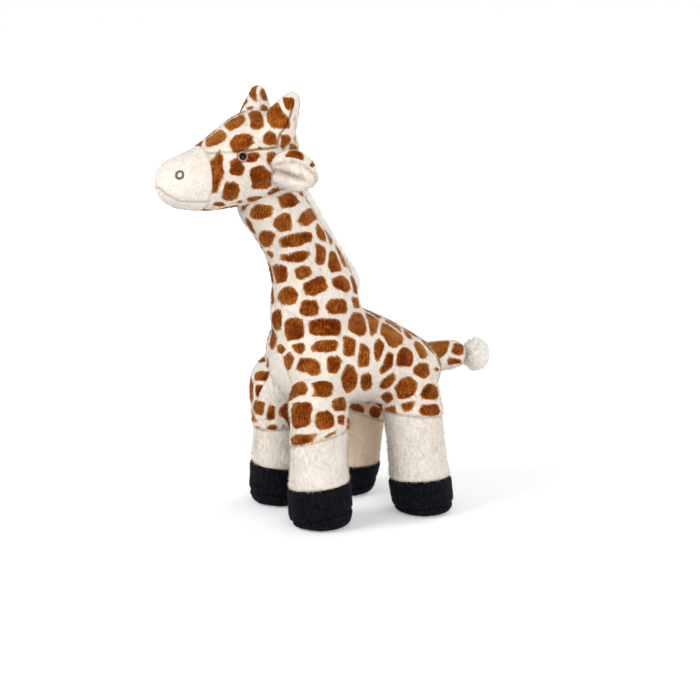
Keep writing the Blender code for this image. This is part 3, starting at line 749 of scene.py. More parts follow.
legPatches = [
    (293, 391, 25, 14, -40), (321.5, 388.5, 24, 17, 0), (299, 415, 22, 26, 0), (340, 405, 14, 16, 0),
    (325, 420, 20, 19, -15), (341, 419, 8, 13, 0), (301, 441, 25, 13, -8), (328.5, 435, 13, 3, -30),
    (388, 381.5, 19, 11, -50), (405.5, 388.5, 24, 20, -40), (432, 392, 18, 16, 0),
    (387.5, 397.5, 12, 11, -45), (407, 406, 17, 10, -15), (390, 411.5, 14, 12, -20), (431, 410, 20, 13, 0),
    (266, 376.5, 20, 12, 0), (262, 391, 18, 15, 0), (268, 393, 8, 8, 0), (258, 408, 14, 17, 0),
    (270.5, 412, 10, 14, 0), (260, 429, 9, 5, 40), (274, 429.5, 14, 10, 0), (282.5, 429, 6, 15, 0),
    (261.5, 358, 8, 18, -20), (374.5, 412, 14, 10, 0), (381, 423.5, 7, 3, 0),
]
# Browns are lighter by painted sheen where the surface turns away from the sides, most of all to the back,
# and vary in tone from patch to patch
sheenAndTone = {"aside": 0.85, "ahead": 0.40, "range": (0.85, 0.15), "turned": 0.70, "patch": (-0.05, 0.30)}
patchLane = {
    "width": 0.0022,
    "grown": 0.0003,
    "length": 0.0150,
    "slant": 1.9,
    "squareness": 2.8,
    "leastFacing": 0.2,
    "spread": 2.6,
    "lengths": (0.85, 1.25),
    "widths": (0.65, 1.0),
    "tries": 6000,
    "wobble": [(0.012, 0.0012), (0.005, 0.0004)],
    "aroundEdge": (0.20, -0.20),
    "aroundLift": 0.007,
    "outside": 0.002,
    "unreached": 0.03,
    "reach": 2.2,
    "reachMore": 0.006,
    "sameSide": -0.25,
    "mostCurved": 1.3,
}
twinJitter = {"turn": 0.35, "shift": 0.002, "grow": (0.92, 1.12), "room": 0.55, "aside": 0.006}

# Where the fabric is plain, and spots left bare in the photograph
flank = {"half": 0.048, "top": 0.0905, "front": -0.006, "back": 0.017, "slant": 0.6}
plainEdges = {"hornTip": 0.2885, "tailTip": 0.106, "ear": -0.0015, "sock": 0.001}
bareSpots = [(217, 197), (262, 130), (214, 160), (228, 151), (221, 146)]
bareReach = 0.008


def patchAt(tree, pixels):
    # a patch's middle, normal and half axes on the surface, undoing the slant it is seen at
    x, y, length, width, turn = pixels
    place, normal = onSurface(tree, (x, y))
    scale = focalPixels / (place - eyePoint).dot(viewForward)
    way = rayThrough((x, y))
    turn = math.radians(turn)
    facing = min(way.dot(normal), -patchLane["leastFacing"])
    axes = []
    sides = ((math.cos(turn), math.sin(turn), length), (-math.sin(turn), math.cos(turn), width))
    for acrossShare, downShare, pixelsLong in sides:
        seen = viewRight * acrossShare - viewUp * downShare
        axis = seen - way * (seen.dot(normal) / facing)
        axis -= normal * axis.dot(normal)
        stretch = min(axis.length, patchLane["slant"])
        axes.append(axis.normalized() * stretch * pixelsLong / 2 / scale)
    return place, normal, *axes


def mirrored(patch, jitter):
    place, normal, first, second = [Vector((-part.x, part.y, part.z)) for part in patch]
    turn, shift = twinJitter["turn"], twinJitter["shift"]
    turn = Matrix.Rotation(jitter.uniform(-turn, turn), 3, normal)
    shift = Vector((0, jitter.uniform(-shift, shift), jitter.uniform(-shift, shift)))
    grow = jitter.uniform(*twinJitter["grow"])
    return place + shift, normal, turn @ first * grow, turn @ second * grow


def plainRoom(points, kind):
    # true where the fabric has no patches
    x, y, z = points.T
    if kind == "ear":
        return along(points, liningSide(1)) > plainEdges["ear"]
    if kind == "head":
        return (along(points, muzzleSeam) > 0) | ((z > plainEdges["hornTip"]) & (x > 0))
    legOf = nearestLeg(points)
    chest = y < belly["front"]
    half, top = np.where(chest, gussetHalf(z), belly["half"]), np.where(chest, gusset["top"], belly["top"])
    under = (np.abs(x) < half) & (z < top)
    side = (np.abs(x) < flank["half"]) & (z < flank["top"]) & (y > flank["front"])
    side &= y < flank["back"] + (flank["top"] - z) * flank["slant"]
    plain = (legOf < 0) & (under | side)
    for index, name in enumerate(legNames):
        plain |= (legOf == index) & (along(points, seams[name]["sock"]) < plainEdges["sock"])
    return plain | (y > plainEdges["tailTip"])


def unfilled(points, kind):
    # true where no patch is added to those seen in the photograph
    bare = np.zeros(len(points), bool)
    if kind == "head":
        for pixel in bareSpots:
            bare |= lengthsOf(points - np.array(onSurface(headTree, pixel)[0])) < bareReach
    if kind == "ear":
        bare = along(points, (joints["ear_left_flap"], ear["out"].cross(up))) > plainEdges["ear"]
    return bare


def spreadPatches(tree, seen, kind, jitter, points, normals, plain, order):
    # the patches seen in the photograph, their twins on the other side, and others in the gaps
    patches = [patchAt(tree, pixels) for pixels in seen]

    def crowded(place, normal, room):
        # another patch is so near that a new one would cover it
        for other, otherNormal, first, second in patches:
            reach = room + (first.length + second.length) / patchLane["spread"]
            if (other - place).length < reach and otherNormal.dot(normal) > -patchLane["leastFacing"]:
                return True
        return False

    for patch in list(patches):
        if kind == "ear" or patch[0].x < twinJitter["aside"]:
            continue
        middle, _, first, second = mirrored(patch, jitter)
        place, normal, _, _ = tree.find_nearest(middle)
        if not crowded(place, normal, min(first.length, second.length) * twinJitter["room"]):
            patches.append((place, normal, first, second))
    full = plain | unfilled(points, kind)
    length = patchLane["length"] / 2
    for index in order[:patchLane["tries"]]:
        place, normal = Vector(points[index]), Vector(normals[index])
        if full[index] or crowded(place, normal, length):
            continue
        first = normal.orthogonal().normalized()
        first = Matrix.Rotation(jitter.uniform(0, 6.28), 3, normal) @ first
        second = normal.cross(first)
        first = first * length * jitter.uniform(*patchLane["lengths"])
        patches.append((place, normal, first, second * length * jitter.uniform(*patchLane["widths"])))
    print(len(patches), "patches on the", kind)
    return patches


def layPatches(skin, tree, seen, kind, seed):
    # signed distance from the edge of the nearest patch, below zero inside it, and how light the brown is from
    # painted sheen and the patch's tone
    mesh = skin.data
    points, normals = pointsOf(mesh), normalsOf(mesh)
    plain = plainRoom(points, kind)
    order = np.random.default_rng(seed).permutation(len(points))
    patches = spreadPatches(tree, seen, kind, random.Random(seed), points, normals, plain, order)
    nearest = np.full(len(points), patchLane["unreached"])
    second = nearest.copy()
    toneOf = np.zeros(len(points))
    tones = random.Random(seed + 9)
    wobble = lumpsOf(points, seed + 2, *patchLane["wobble"]) - patchLane["grown"]
    power = patchLane["squareness"]
    for place, normal, *axes in patches:
        lengths = np.array([axis.length for axis in axes])
        tone = tones.uniform(*sheenAndTone["patch"])
        normal = np.array(normal)
        away = points - np.array(place)
        far = lengthsOf(away)
        near = far < patchLane["reach"] * lengths.max() + patchLane["reachMore"]
        chosen = np.nonzero(near & (normals @ normal > patchLane["sameSide"]))[0]
        if not len(chosen):
            continue
        away, far = away[chosen], far[chosen]
        flat = away - np.outer(away @ normal, normal)
        basis = np.array([axis / axis.length for axis in axes]).T
        parts = flat @ np.linalg.pinv(basis).T
        # ways round a curve are longer than they look along the patch's normal
        curved = np.sqrt(far / np.maximum(lengthsOf(flat), 1e-6)).clip(1, patchLane["mostCurved"])
        parts *= curved[:, None]
        rounds = (np.abs(parts / lengths) ** power).sum(axis=1) ** (1 / power)
        field = (rounds - 1) * lengths.min() + wobble[chosen]
        field += soften(normals[chosen] @ normal, *patchLane["aroundEdge"]) * patchLane["aroundLift"]
        closer = field < nearest[chosen]
        toneOf[chosen] = np.where(closer, tone, toneOf[chosen])
        second[chosen] = np.where(closer, nearest[chosen], np.minimum(second[chosen], field))
        nearest[chosen] = np.where(closer, field, nearest[chosen])
    field = np.maximum(nearest, (patchLane["width"] - (second - nearest)) / 2)
    field = np.where(plain, np.maximum(field, patchLane["outside"]), field)
    setField(mesh, "patch", field * 1000)
    # painted sheen: lighter where the surface faces away from the sides and toward the back
    turned = soften(np.abs(normals[:, 0]) * sheenAndTone["aside"] - normals[:, 1] * sheenAndTone["ahead"], *sheenAndTone["range"])
    setField(mesh, "sheenAndTone", np.clip(turned * sheenAndTone["turned"] + toneOf, 0, 1))


# Covers: the skins cut along their seams into pieces, which keep the whole skin's normals for their pile
pileSource = {}
coverCuts = {"near": 0.004, "bellyRise": 0.002, "past": 0.001, "neckBack": 0.035, "neckFoot": 0.14}


def cutSkin(skin, cuts):
    # splits the faces that each plane crosses, where its test holds
    bm = bmesh.new()
    bm.from_mesh(skin.data)
    centres = np.empty((0, 3))
    for plane, near in cuts:
        faces = bm.faces[:]
        fresh = [tuple(face.calc_center_median()) for face in faces[len(centres):]]
        centres = np.vstack([centres, fresh]) if fresh else centres
        crossed = set()
        for index in np.nonzero((np.abs(along(centres, plane)) < coverCuts["near"]) & near(centres))[0]:
            face = faces[index]
            crossed.update((face, *face.edges, *face.verts))
        bmesh.ops.bisect_plane(bm, geom=list(crossed), plane_co=plane[0], plane_no=plane[1])
    bm.to_mesh(skin.data)
    bm.free()


def keepNormals(skin):
    field = skin.data.attributes.new("wholeNormal", "FLOAT_VECTOR", "POINT")
    field.data.foreach_set("vector", normalsOf(skin.data).ravel())


def splitSkin(skin, labels):
    # one piece for each label, shaded by the whole skin's normals
    mesh = skin.data
    names = labels(valuesOf(mesh.polygons, "center"))
    order = sorted(set(names))
    mesh.materials.clear()
    for name in order:
        mesh.materials.append(bpy.data.materials.new(name))
    mesh.polygons.foreach_set("material_index", np.searchsorted(order, names).astype(np.int32))
    choose(skin)
    bpy.ops.mesh.separate(type="MATERIAL")
    found = {thing.data.materials[0].name: thing for thing in bpy.context.selected_objects}
    for name, piece in found.items():
        piece.name = name
        mesh = piece.data
        normals = unitRows(valuesOf(mesh.attributes["wholeNormal"].data, "vector"))
        smoothShaded(piece)
        mesh.attributes.remove(mesh.attributes["wholeNormal"])
        pileSource[name] = normals
        mesh.normals_split_custom_set_from_vertices(normals.tolist())
        mesh.materials.clear()
        bpy.data.materials.remove(bpy.data.materials[name])
    print(len(found), "pieces:", ", ".join(found))
    return found


def pullIn(skin, seats, reach, depth):
    # a hollow around each place, where something is sewn or clamped on
    points = pointsOf(skin.data)
    inward = [bell(lengthsOf(points - np.array(place)), reach) for place, _ in seats]
    pushOut(skin, -np.maximum(*inward) * depth)


def bothSides(tree, pixel):
    place, normal = onSurface(tree, pixel)
    other, otherNormal, _, _ = tree.find_nearest(Vector((-place.x, place.y, place.z)))
    return [(place, normal), (other, otherNormal)]


innerShade = {"inward": (0.1, 0.8), "fade": 0.006, "firstLeg": legNames.index("hind_left")}


def shadeInside(skin):
    # painted shade on the hind legs' inner sides, where the cream is darkened and warmed
    points, normals = pointsOf(skin.data), normalsOf(skin.data)
    top = jointRing["legTop"]
    inner = soften(-normals[:, 0] * np.sign(points[:, 0]), *innerShade["inward"])
    inner *= nearestLeg(points) >= innerShade["firstLeg"]
    setField(skin.data, "inner", inner * soften(points[:, 2], top, top - innerShade["fade"]))


def puffCuffs(skin):
    # the sleeve hangs over its seam with the sock, and the hoof swells under its own
    points = pointsOf(skin.data)
    legOf = nearestLeg(points)
    outward = np.zeros(len(points))
    for index, name in enumerate(legNames):
        above = along(points, seams[name]["sock"])
        below = -along(points, seams[name]["hoof"])
        puffs = bell(above - cuff["above"], cuff["reach"]) * (above > 0) * cuff["sleeve"]
        puffs += bell(below - cuff["above"], cuff["reach"]) * (below > 0) * cuff["hoof"]
        outward += puffs * (legOf == index)
    pushOut(skin, outward)


eyeSeats = bothSides(headTree, (242.7, 156.5))
nostrilSeats = bothSides(headTree, (179.5, 174.7))

dimple(bodySkin, scale=0.030, depth=0.0005, seed=11)
dimple(headSkin, scale=0.022, depth=0.0003, seed=12)
puffCuffs(bodySkin)
sewSeams(bodySkin, bodySeamLines(pointsOf(bodySkin.data)))
sewSeams(headSkin, headSeamLines(pointsOf(headSkin.data)))
pullIn(headSkin, eyeSeats, reach=0.0055, depth=0.0013)
pullIn(headSkin, nostrilSeats, reach=0.0036, depth=0.0006)
points = pointsOf(bodySkin.data)
points[:, 2] = np.maximum(points[:, 2], 0.0)
setPoints(bodySkin.data, points)
shadeInside(bodySkin)
layPatches(bodySkin, bodyTree, neckPatches + bodyPatches + legPatches, "body", 5)
layPatches(headSkin, headTree, headPatches, "head", 6)
keepNormals(bodySkin)
keepNormals(headSkin)


# Cuts along the seams, then one piece for each cover
def oneLeg(index):
    return lambda points: nearestLeg(points) == index


def anywhere(points):
    return np.ones(len(points), bool)


def levelAt(height):
    return Vector((0, 0, height)), up


middlePlane = (Vector(), leftward)
bodyCuts = [(levelAt(jointRing["legTop"]), anywhere)]
for index, name in enumerate(legNames):
    bodyCuts += [(seams[name][kind], oneLeg(index)) for kind in ("sock", "hoof", "sole")]
bodyCuts += [
    (neckBase, lambda points: points[:, 1] < coverCuts["neckBack"]),
    (neckHalf, lambda points: points[:, 2] > coverCuts["neckFoot"]),
    (tailBase, lambda points: points[:, 2] > tailSeam["foot"]),
    (middlePlane, lambda points: points[:, 2] > jointRing["legTop"]),
]
for side in (1, -1):
    plane = (leftward * side * belly["half"], leftward)
    below = belly["top"] + coverCuts["bellyRise"]
    bodyCuts.append((plane, lambda points: (points[:, 2] < below) & (nearestLeg(points) < 0)))
aside = belly["half"] + coverCuts["past"]
bodyCuts.append((levelAt(belly["top"]), lambda points: np.abs(points[:, 0]) < aside))
cutSkin(bodySkin, bodyCuts)
cutSkin(headSkin, [
    (muzzleSeam, anywhere),
    (crownSeam, lambda points: along(points, muzzleSeam) < coverCuts["past"]),
    (middlePlane, lambda points: along(points, crownSeam) < coverCuts["past"]),
])


def bodyLabels(centres):
    x, y, z = centres.T
    names = np.where(x > 0, "sidePanelLeft", "sidePanelRight").astype("U32")
    names[(np.abs(x) < belly["half"]) & (z < belly["top"])] = "bellyPanel"
    above = (along(centres, neckBase) > 0) & (y < coverCuts["neckBack"])
    names[above] = "neckLower"
    names[above & (along(centres, neckHalf) > 0)] = "neckUpper"
    names[(y > tailBase[0].y) & (z > tailSeam["foot"])] = "tailCover"
    legOf = nearestLeg(centres)
    for index, name in enumerate(legNames):
        mine = legOf == index
        names[mine] = "sleeve_" + name
        for kind in ("sock", "hoof", "sole"):
            names[mine & (along(centres, seams[name][kind]) < 0)] = kind + "_" + name
    return names


def headLabels(centres):
    names = np.where(centres[:, 0] > 0, "cheekLeft", "cheekRight").astype("U32")
    names[along(centres, crownSeam) > 0] = "crownPanel"
    front = along(centres, muzzleSeam) > 0
    names[front] = "muzzlePanel"
    names[front & (aboveMouth(centres) < 0)] = "chinPanel"
    return names


pieces = splitSkin(bodySkin, bodyLabels)
pieces.update(splitSkin(headSkin, headLabels))


# Materials
def newMaterial(name, roughness, specular, sheen=0.0, sheenRoughness=0.5, sheenTint=(1, 1, 1)):
    material = bpy.data.materials.new(name)
    material.use_nodes = True
    shader = material.node_tree.nodes["Principled BSDF"]
    settings = {"Roughness": roughness, "Specular IOR Level": specular, "Sheen Weight": sheen}
    settings.update({"Sheen Roughness": sheenRoughness, "Sheen Tint": (*sheenTint, 1)})
    for socket, value in settings.items():
        shader.inputs[socket].default_value = value
    return material, material.node_tree, shader


def node(tree, kind, inputs=(), **settings):
    made = tree.nodes.new(kind)
    for name, value in settings.items():
        setattr(made, name, value)
    for socket, value in dict(inputs).items():
        if isinstance(value, bpy.types.NodeSocket):
            tree.links.new(value, made.inputs[socket])
        else:
            made.inputs[socket].default_value = value
    return made


def maths(tree, operation, first, second=0.0):
    return node(tree, "ShaderNodeMath", {0: first, 1: second}, operation=operation).outputs[0]


def weighed(tree, *terms):
    # the sum of two values, each times its share
    return maths(tree, "ADD", *[maths(tree, "MULTIPLY", value, share) for value, share in terms])


def vectors(tree, operation, inputs):
    return node(tree, "ShaderNodeVectorMath", inputs, operation=operation).outputs


def noise(tree, size, place, detail=2.0, roughness=0.6, output="Fac"):
    inputs = {"Vector": place, "Scale": 1 / size, "Detail": detail, "Roughness": roughness}
    return node(tree, "ShaderNodeTexNoise", inputs).outputs[output]


def ramp(tree, factor, *stops):
    made = node(tree, "ShaderNodeValToRGB", {"Fac": factor})
    elements = made.color_ramp.elements
    while len(elements) < len(stops):
        elements.new(0.5)
    for element, (place, colour) in zip(elements, stops):
        element.position = place
        element.color = (*colour, 1)
    return made.outputs["Color"]


def mixed(tree, factor, first, second, blend="MIX"):
    # its sockets 6 and 7 take the colours, and its output 2 gives one
    first, second = [(*colour, 1) if isinstance(colour, tuple) else colour for colour in (first, second)]
    inputs = {0: factor, 6: first, 7: second}
    return node(tree, "ShaderNodeMix", inputs, data_type="RGBA", blend_type=blend).outputs[2]


def tinted(tree, factor, colour, tint):
    return mixed(tree, factor, colour, mixed(tree, 1.0, colour, tint, "MULTIPLY"))


def spread(tree, value, low, high):
    inputs = {"Value": value, "From Min": low, "From Max": high}
    return node(tree, "ShaderNodeMapRange", inputs, interpolation_type="SMOOTHSTEP").outputs[0]


def fieldOf(tree, name):
    return node(tree, "ShaderNodeAttribute", attribute_name=name).outputs["Fac"]


def objectPlace(tree):
    return node(tree, "ShaderNodeTexCoord").outputs["Object"]


def paint(tree, shader, colour, height, depth, strength):
    tree.links.new(colour, shader.inputs["Base Color"])
    bump = node(tree, "ShaderNodeBump", {"Height": height, "Distance": depth, "Strength": strength})
    tree.links.new(bump.outputs["Normal"], shader.inputs["Normal"])


plush = {
    "cream": (0.905, 0.843, 0.765),
    "creamShade": (0.79, 0.71, 0.61),
    "creamTint": (0.97, 0.93, 0.87),
    "creamTones": (0.34, 0.54),
    "creamBroad": 0.02,
    "creamTinted": (0.45, 0.75),
    "browns": [(0.070, 0.009, 0.0005), (0.215, 0.037, 0.001), (0.450, 0.145, 0.018)],
    # golds: browns lightened by the painted sheen and by each patch's own tone
    "golds": [(0.220, 0.054, 0.004), (0.390, 0.122, 0.014), (0.560, 0.225, 0.040)],
    "tones": (0.36, 0.50, 0.66),
    "strokes": 0.0008,
    "brownBroad": 0.013,
    "brownRim": (0.470, 0.175, 0.032),
    "rim": (-1.1, -0.1),
    "edge": (0.28, -0.28),
    "fray": 0.9,
    # painted shade along the seams
    "seamShadeTint": (0.40, 0.27, 0.18),
    # painted shade on the hind legs' inner sides
    "innerShadeTint": (1.0, 0.88, 0.74),
    "blacks": [(0.0008, 0.0008, 0.0018), (0.0034, 0.0034, 0.0060), (0.0110, 0.0115, 0.0190)],
    "blackTones": (0.38, 0.52, 0.66),
    # painted shade along the seams of the black pile
    "blackSeamShadeTint": (0.5, 0.5, 0.5),
    "whites": [(0.74, 0.69, 0.60), (0.91, 0.885, 0.83)],
    "whiteTones": (0.26, 0.46),
}
pileLie = {"swirlSize": 1 / 60, "swirl": 0.006, "turn": (0.6, 0.5, 0.2), "drawnOut": (1, 1, 0.34)}


def pileParts(tree, tuft, fibre):
    # places for the pile, drawn out along the way it lies, which swirls a little, and its height
    place = objectPlace(tree)
    swirl = noise(tree, pileLie["swirlSize"], place, 1.0, 0.5, "Color")
    drift = vectors(tree, "MULTIPLY", {0: swirl, 1: [pileLie["swirl"]] * 3})[0]
    strayed = vectors(tree, "ADD", {0: place, 1: drift})[0]
    inputs = {"Vector": strayed, "Rotation": pileLie["turn"], "Scale": pileLie["drawnOut"]}
    laid = node(tree, "ShaderNodeMapping", inputs).outputs["Vector"]
    tufts, fibres = noise(tree, tuft, laid, 2.0, 0.55), noise(tree, fibre, laid, 2.0, 0.6)
    height = weighed(tree, (tufts, 0.65), (fibres, 0.35))
    return {"place": place, "laid": laid, "tufts": tufts, "fibres": fibres, "height": height}


def seamShaded(tree, colour, tint):
    # darkens the colour along the seams with painted shade
    return tinted(tree, maths(tree, "MINIMUM", fieldOf(tree, "seamShade"), 1.0), colour, tint)


def creamPile(tree, parts):
    grain = weighed(tree, (parts["fibres"], 0.5), (parts["tufts"], 0.5))
    fine = ramp(tree, grain, *zip(plush["creamTones"], (plush["creamShade"], plush["cream"])))
    broad = spread(tree, noise(tree, plush["creamBroad"], parts["place"], 3.0), *plush["creamTinted"])
    # the cream darkened and warmed by painted shade on the hind legs' inner sides
    return tinted(tree, fieldOf(tree, "inner"), tinted(tree, broad, fine, plush["creamTint"]), plush["innerShadeTint"])


def creamColour(tree, parts):
    return seamShaded(tree, creamPile(tree, parts), plush["seamShadeTint"])


def spottedColour(tree, parts):
    # cream pile with brown patches, whose edge the pile frays
    strokes = noise(tree, plush["strokes"], parts["laid"], 1.0, 0.5)
    broad = noise(tree, plush["brownBroad"], parts["place"])
    tone = weighed(tree, (strokes, 0.55), (broad, 0.45))
    brown, gold = [ramp(tree, tone, *zip(plush["tones"], plush[name])) for name in ("browns", "golds")]
    edge = fieldOf(tree, "patch")
    # browns lightened toward gold by painted sheen and each patch's own tone
    brown = mixed(tree, fieldOf(tree, "sheenAndTone"), brown, gold)
    brown = mixed(tree, spread(tree, edge, *plush["rim"]), brown, plush["brownRim"])
    frays = [maths(tree, "SUBTRACT", parts[name], 0.5) for name in ("tufts", "fibres")]
    frayed = maths(tree, "ADD", edge, weighed(tree, *[(fray, plush["fray"]) for fray in frays]))
    share = spread(tree, frayed, *plush["edge"])
    return seamShaded(tree, mixed(tree, share, creamPile(tree, parts), brown), plush["seamShadeTint"])


def blackColour(tree, parts):
    colour = ramp(tree, parts["height"], *zip(plush["blackTones"], plush["blacks"]))
    return seamShaded(tree, colour, plush["blackSeamShadeTint"])


def whiteColour(tree, parts):
    return ramp(tree, parts["height"], *zip(plush["whiteTones"], plush["whites"]))


def pileMaterial(name, colourOf, shading, sizes=(0.0014, 0.00045), relief=(0.0018, 0.75)):
    material, tree, shader = newMaterial(name, *shading)
    parts = pileParts(tree, *sizes)
    paint(tree, shader, colourOf(tree, parts), parts["height"], *relief)
    return material


plushShading = (0.95, 0.05, 0.03)
blackShading = (0.9, 0.10, 0.05, 0.4, (0.4, 0.45, 0.7))
whiteShading = (0.95, 0.15, 0.3)
creamPlush = pileMaterial("creamPlush", creamColour, plushShading)
spottedPlush = pileMaterial("spottedPlush", spottedColour, plushShading)
blackPlush = pileMaterial("blackPlush", blackColour, blackShading, relief=(0.0012, 0.6))
whitePile = pileMaterial("whitePile", whiteColour, whiteShading, (0.0011, 0.0004), (0.0010, 0.5))


# Short pile, standing a little off each cover: blades to the square metre, and lengths in metres
pile = {
    "density": 1.0e6,
    "long": 0.0024,
    "wide": 0.00042,
    "sunk": 0.00025,
    "lift": 0.68,
    "lifts": (0.5, 1.4),
    "sizes": (0.6, 1.15),
    "stray": 0.55,
    "lies": (0.15, 0.50, -0.85),
    "swirl": 0.55,
    "swirlSize": 0.05,
    "clear": 0.0040,
    "outShare": 0.85,
    "rolled": 0.45,
    "tipped": (-0.2, 0.4),
}


def pileBlade():
    # a narrow blade, its foot across the origin and its tip along Y
    deselectAll()
    bpy.ops.mesh.primitive_circle_add(vertices=3, radius=1, fill_type="NGON")
    blade = bpy.context.object
    size = (pile["wide"] / math.sqrt(3), pile["long"] / 1.5, 1)
    with editing():
        bpy.ops.transform.resize(value=size, center_override=(0, 0, 0))
        bpy.ops.transform.translate(value=(0, pile["long"] / 3, 0))
    points = pointsOf(blade.data)
    bpy.data.objects.remove(blade)
    return points


def meshPiece(name, points, faces):
    mesh = bpy.data.meshes.new(name)
    mesh.from_pydata(points, [], faces)
    return smoothShaded(linked(name, mesh))


def raiseBlades(piece, shortness, seed):
    # one piece of many copies of the blade, each rooted on the cover and coloured as it is there
    mesh = piece.data
    points, normals = pointsOf(mesh), pileSource[piece.name]
    mesh.calc_loop_triangles()
    flat = np.empty(len(mesh.loop_triangles) * 3, np.int32)
    mesh.loop_triangles.foreach_get("vertices", flat)
    corners = flat.reshape(-1, 3)
    first, second, third = (points[corners[:, index]] for index in range(3))
    areas = lengthsOf(np.cross(second - first, third - first)) / 2
    rng = np.random.default_rng(seed)
    count = int(areas.sum() * pile["density"])
    chosen = np.searchsorted(np.cumsum(areas) / areas.sum(), rng.random(count))
    chosen = corners[chosen.clip(0, len(corners) - 1)]
    shares = rng.dirichlet((1, 1, 1), count)
    roots = np.einsum("ij,ijk->ik", shares, points[chosen])
    out = unitRows(np.einsum("ij,ijk->ik", shares, normals[chosen]))
    clear = np.ones(count, bool)
    for place, _ in eyeSeats + nostrilSeats:
        clear &= lengthsOf(roots - np.array(place)) > pile["clear"]
    roots, out, chosen, shares = roots[clear], out[clear], chosen[clear], shares[clear]
    column = (len(roots), 1)
    swirls = np.array([smoothNoise(roots, pile["swirlSize"], 90 + axis, 1) for axis in range(3)]).T
    way = np.array(pile["lies"]) + swirls * pile["swirl"]
    way += rng.normal(size=roots.shape) * pile["stray"]
    way = unitRows(way - out * np.einsum("ij,ij->i", way, out)[:, None])
    lift = pile["lift"] * rng.uniform(*pile["lifts"], column)
    way = way * np.cos(lift) + out * np.sin(lift)
    side = unitRows(np.cross(way, out))
    size = rng.uniform(*pile["sizes"], column) * shortness
    spots = [roots - out * pile["sunk"] + side * x + way * size * y for x, y, _ in pileBlade()]
    corner = len(spots)
    allPoints = np.stack(spots, axis=1).reshape(-1, 3)
    blades = meshPiece("pile_" + piece.name, allPoints, np.arange(len(allPoints)).reshape(-1, corner))
    for name in ("patch", "seamShade", "inner", "sheenAndTone"):
        if name in mesh.attributes:
            field = np.zeros(len(points), np.float32)
            mesh.attributes[name].data.foreach_get("value", field)
            setField(blades.data, name, np.repeat(np.einsum("ij,ij->i", shares, field[chosen]), corner))
    tilted = out * pile["outShare"] + side * rng.normal(size=column) * pile["rolled"]
    tilted = unitRows(tilted + way * rng.uniform(*pile["tipped"], column))
    blades.data.normals_split_custom_set_from_vertices(np.repeat(tilted, corner, axis=0).tolist())
    return blades


def dress(piece, material):
    piece.data.materials.clear()
    piece.data.materials.append(material)


def follow(piece, motion):
    # rides on one body; a piece that spans two bodies only has its placement applied to its mesh
    if len(motion) == 1:
        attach(piece, motion[0])
    else:
        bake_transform(piece)


def cover(name, material, slot, motion, nodes, fill=0.85, shortness=1.0):
    piece = pieces[name]
    dress(piece, material)
    follow(piece, motion)
    if nodes:
        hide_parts(*nodes)
    blades = raiseBlades(piece, shortness, sum(map(ord, name)))
    dress(blades, material)
    follow(blades, motion)


spotted = (spottedPlush, "spotted_plush")
cream = (creamPlush, "cream_plush")
black = (blackPlush, "black_plush")
cover("sidePanelLeft", *spotted, ["torso"], ["side_panel_left", "torso_filling"])
cover("sidePanelRight", *spotted, ["torso"], ["side_panel_right"])
cover("bellyPanel", *cream, ["torso"], ["belly_panel"])
for name in legNames:
    top = legAxisAt(name, jointRing["blendTop"])
    foot = Vector((top.x, top.y, jointRing["blendFoot"]))
    limb = "leg_" + name
    hipTurn = ["torso", limb, top, foot]
    cover("sleeve_" + name, *spotted, hipTurn, [limb + "_outer_sleeve", limb + "_inner_sleeve", limb + "_filling"])
    cover("sock_" + name, *cream, hipTurn, [limb + "_sock"])
    cover("hoof_" + name, *black, [limb], [limb + "_hoof"], shortness=0.6)
    cover("sole_" + name, *black, [limb], [limb + "_sole"], shortness=0.5)

nodWay = Vector((0, -0.53, 0.85)).normalized()
neckBend = ["torso", "neck", neckBase[0], neckBase[0] + neckBase[1] * 0.034]
headNod = ["neck", "head", joints["head_nod"] - nodWay * 0.026, joints["head_nod"] - nodWay * 0.002]
tailWag = ["torso", "tail", (0, 0.0795, 0.097), (0, 0.094, 0.097)]
cover("neckLower", *spotted, neckBend, ["neck_panel_left", "neck_filling"])
cover("neckUpper", *spotted, headNod, ["neck_panel_right"])
cover("tailCover", *spotted, tailWag, ["tail_cover", "tail_filling"])
hornNodes = ["horn_left", "horn_right", "horn_left_filling", "horn_right_filling"]
cover("crownPanel", *spotted, ["head"], ["crown_panel", "head_filling"] + hornNodes, shortness=0.9)
cover("cheekLeft", *spotted, ["head"], ["cheek_left"], shortness=0.9)
cover("cheekRight", *spotted, ["head"], ["cheek_right"], shortness=0.9)
cover("muzzlePanel", *cream, ["head"], ["muzzle_panel"], shortness=0.6)
cover("chinPanel", *cream, ["head"], ["chin_panel"], shortness=0.6)
print("covers dressed")


# Small pieces grown on their own
def landed(form, matrix):
    form.data.transform(matrix)
    return form


def facing(place, outward):
    # turns a piece grown along Z to stand out of a surface
    return Matrix.Translation(place) @ outward.to_track_quat("Z", "Y").to_matrix().to_4x4()


def turnTo(x, y, z):
    return Matrix((x, y, z)).transposed().to_4x4()


def copies(name, source, matrices):
    # one piece of many turned copies of a small one, which is then removed
    points = pointsOf(source.data)
    corners = [list(face.vertices) for face in source.data.polygons]
    allPoints, allFaces = [], []
    for index, matrix in enumerate(matrices):
        turn = np.array(matrix)
        allPoints.append(points @ turn[:3, :3].T + turn[:3, 3])
        allFaces += [[corner + index * len(points) for corner in face] for face in corners]
    piece = meshPiece(name, np.vstack(allPoints).tolist(), allFaces)
    bpy.data.objects.remove(source)
    return piece


def stitchOf(segments, rings, half):
    deselectAll()
    bpy.ops.mesh.primitive_uv_sphere_add(segments=segments, ring_count=rings, radius=1)
    stitch = bpy.context.object
    with editing():
        bpy.ops.transform.resize(value=half)
    return stitch


